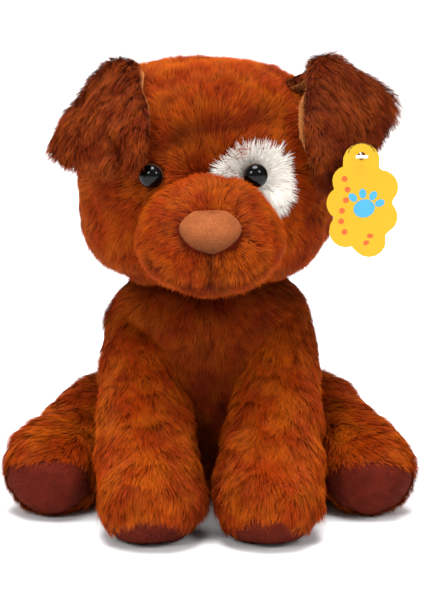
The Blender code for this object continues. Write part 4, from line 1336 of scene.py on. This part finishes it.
class PUPPY_OT_tag(PuppyOperator, bpy.types.Operator):
    """Finish the card tag and print a paw and dots on it"""
    bl_idname = "puppy.tag"
    bl_label = "Tag"

    def make(self, sizes):
        # Laminated card is flat and bright, with a weak even gloss and hardly any mottling.
        card, tree, shader = new_material("laminated yellow card", Roughness=0.45, Specular_IOR_Level=0.2,
                                          Coat_Weight=0.12, Coat_Roughness=0.15)
        mottle = noise_on_object(tree, 14.0, 2.0)
        yellow = list(bpy.context.scene.puppy_colours.card)
        tree.links.new(mixed(tree, mottle.outputs["Fac"], [0.93 * c for c in yellow], yellow),
                       shader.inputs["Base Color"])
        finish_node("hang_tag", card)
        # Moulded nylon is milky white and half matt.
        nylon = new_material("white nylon fastener", Base_Color=rgba(linear("#F2F0EA")), Roughness=0.35,
                             Subsurface_Weight=0.1)[0]
        finish_node("tag_fastener", nylon)
        front = TAG_LOW[1] - 0.05
        middle_x = (TAG_LOW[0] + TAG_HIGH[0]) / 2
        blue = [disc("spot", (middle_x + 1.0, 171.0), 5.4, 4.6, 0.3, front, 0.1)]
        for turn in (-0.75, -0.1, 0.55, 1.2):
            reach = (middle_x + 1.0 + 8.4 * math.sin(turn), 171.0 + 7.6 * math.cos(turn))
            blue.append(disc("spot", reach, 1.8, 2.5, -turn, front, 0.1))
        orange = [disc("spot", (middle_x - 9.0 + 1.6 * math.sin(step * 1.3), 186.0 - 5.4 * step), 1.5, 1.5, 0,
                       front, 0.1) for step in range(6)]
        orange += [disc("spot", (middle_x + 3.0 + 1.2 * math.cos(step * 2.2), 157.0 - 3.6 * step), 1.6, 1.2,
                        0.5 * step, front, 0.1) for step in range(2)]
        arc = []
        for turn in np.linspace(-1.2, 1.1, 8):
            spot = (TAG_HOLE[0] + 6.8 * math.sin(turn), TAG_HOLE[2] + 6.4 * math.cos(turn))
            arc.append(disc("spot", spot, 1.1, 0.28, -turn, front, 0.1))
        for name, pieces, tone in (("tag_print_paw", blue, "#4292B4"), ("tag_print_dots", orange, "#CC5424"),
                                   ("tag_print_arc", arc, "#5A4410")):
            # Printing ink lies flat on the card, one even tone for each colour.
            ink = new_material(f"gloss ink {tone[1:]}", Base_Color=rgba(linear(tone)), Roughness=0.4,
                               Specular_IOR_Level=0.2)[0]
            piece = joined(name, pieces)
            piece.data.materials.append(ink)
            settle(piece, "tag")


def finish_node(node, material):
    """Give a frame node a better finish; its shape stays."""
    piece = bpy.data.objects[node]
    for spot in piece.material_slots:
        spot.material = material


class PUPPY_OT_filling(PuppyOperator, bpy.types.Operator):
    """Finish the pieces inside: fibre, pellet bag, washers and the care label"""
    bl_idname = "puppy.filling"
    bl_label = "Filling"

    def make(self, sizes):
        # Fibre filling looks like white wool: matt, with soft clouds in it.
        fibre, tree, shader = new_material("polyester fibre filling", Roughness=0.9, Sheen_Weight=0.3)
        fluff = noise_on_object(tree, 3.0, 5.0)
        tree.links.new(mixed(tree, fluff.outputs["Fac"], (0.72, 0.72, 0.70), (0.92, 0.92, 0.90)),
                       shader.inputs["Base Color"])
        bump(tree, shader, fluff.outputs["Fac"], 1.5)
        for node in bpy.data.objects:
            if node.name.endswith("_stuffing"):
                finish_node(node.name, finish_of("backing") if node.name.startswith("neck") else fibre)
        # Undyed cotton is matt and cream, with a plain weave that is drawn coarser to show.
        cloth, tree, shader = new_material("cotton pellet bag", Roughness=0.85)
        weave = noise_on_object(tree, 0.7, 2.0)
        tree.links.new(mixed(tree, weave.outputs["Fac"], linear("#B9AE96"), linear("#D8CFBA")),
                       shader.inputs["Base Color"])
        bump(tree, shader, weave.outputs["Fac"], 0.3)
        finish_node("pellet_bag", cloth)
        # Moulded plastic washers are plain white and half matt.
        washer = new_material("white moulded washer", Base_Color=rgba((0.8, 0.8, 0.78)), Roughness=0.4)[0]
        for side in ("left", "right"):
            finish_node(f"eye_washer_{side}", washer)
        # Satin ribbon shines softly across fine ribs.
        satin, tree, shader = new_material("woven satin label", Roughness=0.35, Sheen_Weight=0.3)
        rib = add(tree, "ShaderNodeTexWave", {"Scale": 900.0, "Distortion": 0.4}, bands_direction="Z")
        place = add(tree, "ShaderNodeTexCoord")
        tree.links.new(place.outputs["Object"], rib.inputs["Vector"])
        tree.links.new(mixed(tree, rib.outputs["Fac"], (0.80, 0.80, 0.78), (0.93, 0.93, 0.91)),
                       shader.inputs["Base Color"])
        finish_node("care_label", satin)


class PUPPY_OT_stage(PuppyOperator, bpy.types.Operator):
    """Make the floor, the soft lights and the camera"""
    bl_idname = "puppy.stage"
    bl_label = "Stage"

    def make(self, sizes):
        make_stage()


def make_stage():
    size = 14.0
    points = [(x, y, 0.0) for x, y in ((-size, -size), (size, -size), (size, size), (-size, size))]
    floor = new_piece("floor", np.array(points) / MM, [(0, 1, 2, 3)])
    # A matt white floor shows only soft contact shadows.
    material, tree, shader = new_material("matt white floor", Roughness=0.9)
    fibre = noise_on_object(tree, 4.0, 2.0)
    tree.links.new(mixed(tree, fibre.outputs["Fac"], (0.88, 0.88, 0.88), (0.91, 0.91, 0.91)),
                   shader.inputs["Base Color"])
    floor.data.materials.append(material)

    world = bpy.data.worlds.new("soft room")
    world.use_nodes = True
    world.node_tree.nodes["Background"].inputs["Color"].default_value = (1, 1, 1, 1)
    world.node_tree.nodes["Background"].inputs["Strength"].default_value = 0.42
    bpy.context.scene.world = world
    bpy.context.scene.view_settings.view_transform = "Standard"
    for name, kind, place, energy, spread in (("key_left", "AREA", (-0.60, -1.05, 0.80), 8, 0.34),
                                              ("key_right", "AREA", (0.75, -0.95, 0.85), 5.5, 0.34),
                                              ("top", "SUN", (0.0, -0.25, 1.3), 5.2, 0.6)):
        light = bpy.data.lights.new(name, kind)
        light.energy = energy
        setattr(light, "angle" if kind == "SUN" else "size", spread)
        holder = bpy.data.objects.new(name, light)
        holder.location = place
        aim = Vector((0, -0.02, 0.13)) - Vector(place)
        holder.rotation_euler = aim.to_track_quat("-Z", "Y").to_euler()
        bpy.context.scene.collection.objects.link(holder)

    camera = bpy.data.cameras.new("camera")
    camera.lens = 127.8
    camera.sensor_width = 36.0
    holder = bpy.data.objects.new("camera", camera)
    distance, elevation = 1.15, math.radians(13)
    target = Vector((0.00135, -0.010, 0.108))
    holder.location = target + distance * Vector((0, -math.cos(elevation), math.sin(elevation)))
    holder.rotation_euler = (target - holder.location).to_track_quat("-Z", "Y").to_euler()
    bpy.context.scene.collection.objects.link(holder)
    bpy.context.scene.camera = holder


class PUPPY_PT_panel(bpy.types.Panel):
    """Sidebar panel that lists the pieces"""
    bl_label = "Plush Puppy"
    bl_space_type = "VIEW_3D"
    bl_region_type = "UI"
    bl_category = "Puppy"

    def draw(self, context):
        for group in (context.scene.puppy_sizes, context.scene.puppy_colours):
            for name in group.__annotations__:
                self.layout.prop(group, name)
        for kind in OPERATORS:
            self.layout.operator(kind.bl_idname)


OPERATORS = (PUPPY_OT_head, PUPPY_OT_muzzle, PUPPY_OT_torso, PUPPY_OT_front_legs, PUPPY_OT_hind_legs,
             PUPPY_OT_tail, PUPPY_OT_ears, PUPPY_OT_nose, PUPPY_OT_eyes, PUPPY_OT_tag, PUPPY_OT_filling,
             PUPPY_OT_stage)
CLASSES = (PuppySizes, PuppyColours, *OPERATORS, PUPPY_PT_panel)


def register():
    for kind in CLASSES:
        bpy.utils.register_class(kind)
    bpy.types.Scene.puppy_sizes = PointerProperty(type=PuppySizes)
    bpy.types.Scene.puppy_colours = PointerProperty(type=PuppyColours)


def unregister():
    del bpy.types.Scene.puppy_colours
    del bpy.types.Scene.puppy_sizes
    for kind in reversed(CLASSES):
        bpy.utils.unregister_class(kind)


def main():
    register()
    for kind in OPERATORS:
        group, name = kind.bl_idname.split(".")
        getattr(getattr(bpy.ops, group), name)()


if __name__ == "__main__":
    main()
